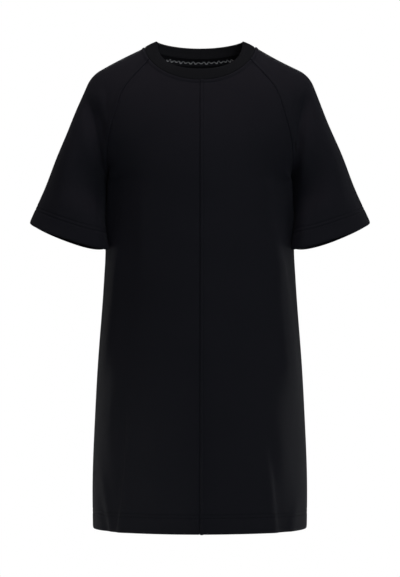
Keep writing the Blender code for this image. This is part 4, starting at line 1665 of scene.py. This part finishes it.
@dataclass(frozen=True)
class ClothFinish:
    """A dull cloth: its colour, its pattern's sizes and its sheen. The colour is its dye, with painted shade
    between the stitches, and on the rib's inner face it is painted light.
    """

    name: str
    colour: tuple[float, float, float]
    worn: tuple[float, float, float]
    pattern: Pattern
    wale: float = 0.0011
    course: float = 0.0009
    depth: float = 0.00022
    fibre_depth: float = 0.00012
    unevenness: float = 0.35
    roughness: float = 0.82
    fibre_roughness: float = 0.12
    shine: float = 0.12
    sheen: float = 0.10
    sheen_roughness: float = 0.35
    sheen_tint: tuple[float, float, float] = (0.84, 0.88, 1.0)

    def pattern_node(
        self, graph: Graph, effects: ClothEffects, place: bpy.types.NodeSocket
    ) -> bpy.types.Node | None:
        """The pattern's node group, placed in a material."""
        if self.pattern is Pattern.KNIT:
            return graph.use(effects.knit, Place=place, Wale=self.wale, Course=self.course)
        if self.pattern is Pattern.LOOPS:
            return graph.use(effects.loops, Place=place, Wale=self.wale, Course=self.course)
        if self.pattern is Pattern.TWILL:
            return graph.use(effects.twill, Place=place, Pitch=self.wale)
        return None

    def build(self, effects: ClothEffects) -> bpy.types.Material:
        """Makes the material."""
        material = bpy.data.materials.new(self.name)
        material.use_nodes = True
        graph = Graph(material.node_tree)
        shader = material.node_tree.nodes["Principled BSDF"]
        place = graph.add("ShaderNodeUVMap", {}, uv_map=UV_NAME).outputs["UV"]
        solid = graph.add("ShaderNodeTexCoord", {}).outputs["Object"]
        fibres = graph.use(effects.fuzz, Place=solid)
        pattern = self.pattern_node(graph, effects, place)
        dyed_and_shaded = graph.use(
            effects.dye_and_shade,
            Colour=(*self.colour, 1.0),
            Worn=(*self.worn, 1.0),
            Between=pattern.outputs["Between"] if pattern and "Between" in pattern.outputs else 0.0,
            Amount=self.unevenness,
        )
        normal = graph.bump(fibres.outputs["Height"], self.fibre_depth)
        if pattern:
            normal = graph.bump(pattern.outputs["Height"], self.depth, normal)
        rough = graph.math("MULTIPLY_ADD", fibres.outputs["Mask"], self.fibre_roughness, self.roughness)
        graph.feed(shader, {
            "Base Color": dyed_and_shaded.outputs["Colour"],
            "Normal": normal,
            "Roughness": graph.math("MINIMUM", rough, 1.0),
            "Specular IOR Level": self.shine,
            "Sheen Weight": self.sheen,
            "Sheen Roughness": self.sheen_roughness,
            "Sheen Tint": (*self.sheen_tint, 1.0),
        })
        return material


JERSEY = ClothFinish(
    "black_knit_face", (0.0042, 0.0048, 0.0084), (0.0074, 0.0080, 0.0130), Pattern.KNIT,
    roughness=0.62, shine=0.16, sheen=0.03, sheen_roughness=0.30,
)
LOOPBACK = ClothFinish(
    "black_knit_inside", (0.0085, 0.0085, 0.0098), (0.0150, 0.0148, 0.0165), Pattern.LOOPS,
    wale=0.0022, course=0.0018, depth=0.0005, sheen=0.06, roughness=0.92, shine=0.06,
)
RIB = ClothFinish(
    "black_rib_knit", (0.0074, 0.0084, 0.0092), (0.0114, 0.0126, 0.0136), Pattern.KNIT,
    wale=0.0010, course=0.0009, depth=0.00018, shine=0.08, sheen=0.035, sheen_roughness=0.30,
)
# The rib's inner face, about four times lighter than the rib: painted light where the inner face lies in
# shade.
RIB_INSIDE_PAINTED_LIGHT = replace(
    RIB, name="black_rib_inside_painted_light", colour=(0.0300, 0.0290, 0.0320), worn=(0.0420, 0.0410, 0.0440),
)
TAPE = ClothFinish(
    "black_twill_tape", (0.0070, 0.0070, 0.0085), (0.0120, 0.0120, 0.0140), Pattern.TWILL,
    wale=0.0009, depth=0.0001, shine=0.25, sheen=0.04, roughness=0.7,
)
THREAD = ClothFinish(
    "black_sewing_thread", (0.0030, 0.0030, 0.0036), (0.0050, 0.0050, 0.0060), Pattern.PLAIN,
    fibre_depth=0.00005, roughness=0.60, shine=0.06, sheen=0.0,
)
PALE_THREAD = ClothFinish(
    "pale_woven_thread", (0.44, 0.44, 0.44), (0.52, 0.52, 0.51), Pattern.PLAIN,
    fibre_depth=0.00008, roughness=0.6, shine=0.35, sheen=0.05,
)


# ---------------------------------------------------------------- studio

@dataclass(frozen=True)
class Softbox:
    """A flat soft light, aimed at a point."""

    name: str
    place: tuple[float, float, float]
    aim: tuple[float, float, float]
    size: tuple[float, float]
    power: float
    colour: tuple[float, float, float] = (1.0, 1.0, 1.0)
    spread: float = 180.0  # degrees

    def build(self) -> None:
        """Hangs the light."""
        lamp = bpy.data.lights.new(self.name, "AREA")
        lamp.shape = "RECTANGLE"
        lamp.size, lamp.size_y = self.size
        lamp.energy = self.power
        lamp.color = self.colour
        lamp.spread = math.radians(self.spread)
        thing = bpy.data.objects.new(self.name, lamp)
        thing.location = self.place
        thing.rotation_euler = (Vector(self.aim) - thing.location).to_track_quat("-Z", "Y").to_euler()
        bpy.context.scene.collection.objects.link(thing)


@dataclass
class Studio:
    """The pale floor, the white surroundings, the soft lights and the camera."""

    floor_height: float = -1.36
    floor_radius: float = 3.2
    floor_clear: float = 1.1
    floor_faded: float = 3.104
    floor_sides: int = 96
    ambient: float = 0.10
    eye_distance: float = 5.0
    eye_height: float = -0.4343
    eye_side: float = 0.0003
    pixel: float = 0.0018
    picture_height: int = 577
    sensor: float = 36.0
    lights: tuple[Softbox, ...] = (
        Softbox("front", (0.9, -4.3, 0.25), (0.0, 0.0, -0.35), (1.4, 1.4), 45.0, (0.88, 0.94, 1.0)),
        Softbox("upper", (0.1, -1.3, 0.50), (0.0, 0.0, -0.05), (1.2, 0.4), 1.5, (0.96, 0.86, 0.96)),
        Softbox("key", (2.8, -1.9, 0.5), (0.1, 0.0, -0.25), (1.2, 1.2), 9.5, (0.90, 0.95, 1.0)),
        Softbox("top", (0.0, -0.35, 1.5), (0.0, 0.0, -0.05), (1.6, 0.6), 13.0, (1.0, 0.84, 0.93)),
        Softbox("back", (0.0, 3.9, 1.3), (0.0, 0.0, -0.40), (1.6, 1.6), 30.0, (0.90, 0.95, 1.0)),
        Softbox("left_strip", (1.7, 1.2, -0.9), (0.15, 0.0, -0.58), (0.3, 0.5), 0.075, spread=26.0),
        Softbox("right_strip", (-1.5, 1.5, -0.9), (-0.15, 0.0, -0.58), (0.3, 0.5), 0.045, spread=26.0),
        Softbox("left_rim", (1.2, 1.9, -1.0), (0.15, 0.0, -0.66), (0.4, 0.8), 0.020, spread=40.0),
        Softbox("right_rim", (-1.2, 1.9, -1.0), (-0.15, 0.0, -0.66), (0.4, 0.8), 0.016, spread=40.0),
        Softbox("low_left", (2.0, -0.1, -0.95), (0.15, -0.1, -0.82), (0.3, 0.3), 0.020, spread=20.0),
        Softbox("low_right", (-2.0, -0.1, -0.95), (-0.15, -0.1, -0.82), (0.3, 0.3), 0.08, spread=20.0),
    )

    def surround(self) -> None:
        """White to the camera, and a dimmer even light on the cloth."""
        world = bpy.data.worlds.new("white_surround")
        bpy.context.scene.world = world
        world.use_nodes = True
        graph = Graph(world.node_tree)
        world.node_tree.nodes.clear()
        white = (1.0, 1.0, 1.0, 1.0)
        seen = graph.add("ShaderNodeBackground", {"Color": white})
        unseen = graph.add("ShaderNodeBackground", {"Color": white, "Strength": self.ambient})
        by_camera = graph.add("ShaderNodeLightPath", {}).outputs["Is Camera Ray"]
        mix = graph.add("ShaderNodeMixShader", {0: by_camera, 1: unseen.outputs[0], 2: seen.outputs[0]})
        graph.add("ShaderNodeOutputWorld", {0: mix.outputs[0]})

    def floor(self) -> None:
        """A pale round floor that fades into the white."""
        turns = np.arange(self.floor_sides) * 2 * math.pi / self.floor_sides
        rim = stack(np.cos(turns), np.sin(turns), 0.0) * self.floor_radius
        rim = rim + np.array((0.0, 0.0, self.floor_height))
        thing = add_mesh("floor", rim, [tuple(range(self.floor_sides))])
        material = bpy.data.materials.new("pale_floor")
        material.use_nodes = True
        graph = Graph(material.node_tree)
        shader = material.node_tree.nodes["Principled BSDF"]
        place = graph.add("ShaderNodeTexCoord", {}).outputs["Object"]
        flat = graph.add("ShaderNodeVectorMath", {0: place, 1: (1.0, 1.0, 0.0)}, operation="MULTIPLY")
        length = graph.add("ShaderNodeVectorMath", {0: flat.outputs[0]}, operation="LENGTH")
        fade = graph.add(
            "ShaderNodeMapRange",
            {
                "Value": length.outputs["Value"],
                "From Min": self.floor_clear,
                "From Max": self.floor_faded,
                "To Min": 1.0,
                "To Max": 0.0,
            },
            interpolation_type="SMOOTHSTEP",
        )
        graph.feed(shader, {
            "Alpha": fade.outputs["Result"],
            "Base Color": (0.86, 0.86, 0.86, 1.0),
            "Roughness": 0.9,
        })
        thing.data.materials.append(material)

    def camera(self) -> None:
        """Level with the middle of the picture, straight in front, with a long lens."""
        lens = bpy.data.cameras.new("camera")
        lens.sensor_fit = "AUTO"
        lens.sensor_width = self.sensor
        lens.lens = self.sensor * self.eye_distance / (self.picture_height * self.pixel)
        thing = bpy.data.objects.new("camera", lens)
        thing.location = (self.eye_side, -self.eye_distance, self.eye_height)
        thing.rotation_euler = (math.pi / 2, 0.0, 0.0)
        bpy.context.scene.collection.objects.link(thing)
        bpy.context.scene.camera = thing

    def build(self) -> None:
        """Sets up everything around the dress."""
        bpy.context.scene.view_settings.view_transform = "Standard"
        self.surround()
        self.floor()
        for light in self.lights:
            light.build()
        self.camera()


# ---------------------------------------------------------------- the dress

@dataclass
class SweatshirtDress:
    """The whole garment, built piece by piece on the frame's one body.

    The spans say where rows of stitches and allowances begin and end, as rows or columns of a piece.
    """

    form: DressForm = field(default_factory=DressForm)
    sewing: Sewing = field(default_factory=Sewing)
    cuff_span: tuple[float, float] = (-0.995, 0.995)
    raglan_span: tuple[float, float] = (0.03, 0.93)
    sleeve_neck_span: tuple[float, float] = (-0.97, 0.97)
    half_hem_span: tuple[float, float] = (0.01, 0.995)
    back_hem_span: tuple[float, float] = (-1.0, 0.995)
    neck_share: float = 0.985  # of the hem's span, along the neck
    centre_span: tuple[float, float] = (-0.997, 0.988)
    side_span: tuple[float, float] = (-0.997, -0.004)
    neck_span: tuple[float, float] = (-0.985, 0.985)
    neck_points: int = 121
    near: float = 0.02  # a step inward from a seam

    def panels(self) -> list[ClothPiece]:
        """The cut pieces of knit."""
        form, sewing = self.form, self.sewing
        halves = [
            BodyPanel(
                form, sewing, f"dress_front_{side.value}", (f"front_{side.value}",),
                (0.27, 0.86), 0.19,
                face=Face.FRONT, side=side, wide_folds=FRONT_FOLDS, creases=FRONT_CREASES,
            )
            for side in Side
        ]
        back = BodyPanel(
            form, sewing, "dress_back", ("back",), (0.53, 0.90), 0.39,
            face=Face.BACK, side=None, wide_folds=BACK_FOLDS, creases=BACK_CREASES,
        )
        sleeves = [
            Sleeve(
                form, sewing, f"dress_sleeve_{side.value}", (f"sleeve_{side.value}",),
                (0.42, 0.43), 0.105, side=side,
            )
            for side in Side
        ]
        return [*halves, back, *sleeves]

    def stitches(self, piece: ClothPiece, stitching: Stitching) -> bpy.types.Object:
        """All the topstitching of one piece."""
        sewing = self.sewing
        paths: list[tuple[Array, Array]] = []
        if isinstance(piece, Sleeve):
            across = np.linspace(*self.cuff_span, PATH_POINTS)
            for distance in sewing.cuff_rows:
                paths.append((np.full_like(across, 2 - distance / self.form.tube_length), across))
            for edge in (-1.0, 1.0):
                rows = np.linspace(*self.raglan_span, PATH_POINTS)
                paths.append(beside_edge(piece, rows, edge, sewing.topstitch))
            neck = np.linspace(*self.sleeve_neck_span, PATH_POINTS)
            paths.append(below_neck(piece, neck, 0.0, 1.0, sewing.neck_topstitch))
        elif isinstance(piece, BodyPanel):
            span = self.back_hem_span if piece.side is None else self.half_hem_span
            sign = 1.0 if piece.side is None else piece.side.sign
            across = sign * np.linspace(*span, PATH_POINTS)
            for distance in sewing.hem_rows:
                paths.append((np.full_like(across, -1 + distance / self.form.body_length), across))
            paths.append(below_neck(piece, across * self.neck_share, 1.0, -1.0, sewing.neck_topstitch))
            if piece.side is Side.LEFT:
                rows = np.linspace(*self.centre_span, 2 * PATH_POINTS)
                paths.append(beside_edge(piece, rows, 0.0, sewing.topstitch))
        return stitching.sew(piece.name.replace("dress_", "stitches_"), piece, paths)

    def seams(self, piece: ClothPiece) -> list[tuple[Array, Array, Array, Array]]:
        """The seams whose allowances lie under a piece, as SeamAllowances takes them."""
        rows, _ = piece.grid()
        inner = np.linspace(*self.neck_span, self.neck_points)
        found = []
        if isinstance(piece, Sleeve):
            for edge in (-1.0, 1.0):
                line = np.full_like(rows, edge)
                found.append((rows, line, rows, line * (1 - self.near)))
            neck = np.zeros_like(inner)
            found.append((neck, inner, neck + self.near, inner))
        elif isinstance(piece, BodyPanel):
            bottom, top = self.side_span
            level = rows[(rows > bottom) & (rows < top)]
            for edge in (-1.0, 1.0) if piece.side is None else ():
                line = np.full_like(level, edge)
                found.append((level, line, level, line * (1 - self.near)))
            if piece.side is Side.LEFT:
                line = np.zeros_like(rows[2:])
                found.append((rows[2:], line, rows[2:], line + self.near))
            if piece.side is not None:
                inner = inner[inner > -top] * piece.side.sign
            neck = np.ones_like(inner)
            found.append((neck, inner, neck - self.near, inner))
        return found

    @staticmethod
    def declare(thing: bpy.types.Object, slot: str, *nodes: str) -> None:
        """Attaches a piece to the body it rides on and hides the solids whose place it takes."""
        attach(thing, "root")
        if nodes:
            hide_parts(*nodes)
        log.info("%s: %d faces", thing.name, len(thing.data.polygons))

    def build(self) -> None:
        """Builds, dresses and declares every piece."""
        effects = ClothEffects()
        jersey, loopback = JERSEY.build(effects), LOOPBACK.build(effects)
        stitching, allowances = Stitching(THREAD.build(effects)), SeamAllowances(loopback)
        panels = self.panels()
        for piece in panels:
            thing = piece.build(jersey, loopback)
            self.declare(thing, "black_knit", *piece.nodes)
            sewn = self.stitches(piece, stitching)
            edges = allowances.sew(
                piece.name.replace("dress_", "allowances_"), piece, self.seams(piece)
            )
            for small in (sewn, edges):
                self.declare(small, "black_knit")
        neckband = Neckband(self.form)
        band = neckband.build(RIB.build(effects), RIB_INSIDE_PAINTED_LIGHT.build(effects))
        self.declare(band, "black_rib", "neckband")
        neck_tape = NeckTape(next(piece for piece in panels if piece.name == "dress_back"))
        tape = neck_tape.build(TAPE.build(effects), PALE_THREAD.build(effects))
        self.declare(tape, "black_tape", "neck_tape")


def main() -> None:
    """Builds the dress and the studio."""
    logging.basicConfig(level=logging.INFO, format="%(name)s: %(message)s")
    SweatshirtDress().build()
    Studio().build()


if __name__ == "__main__":
    main()
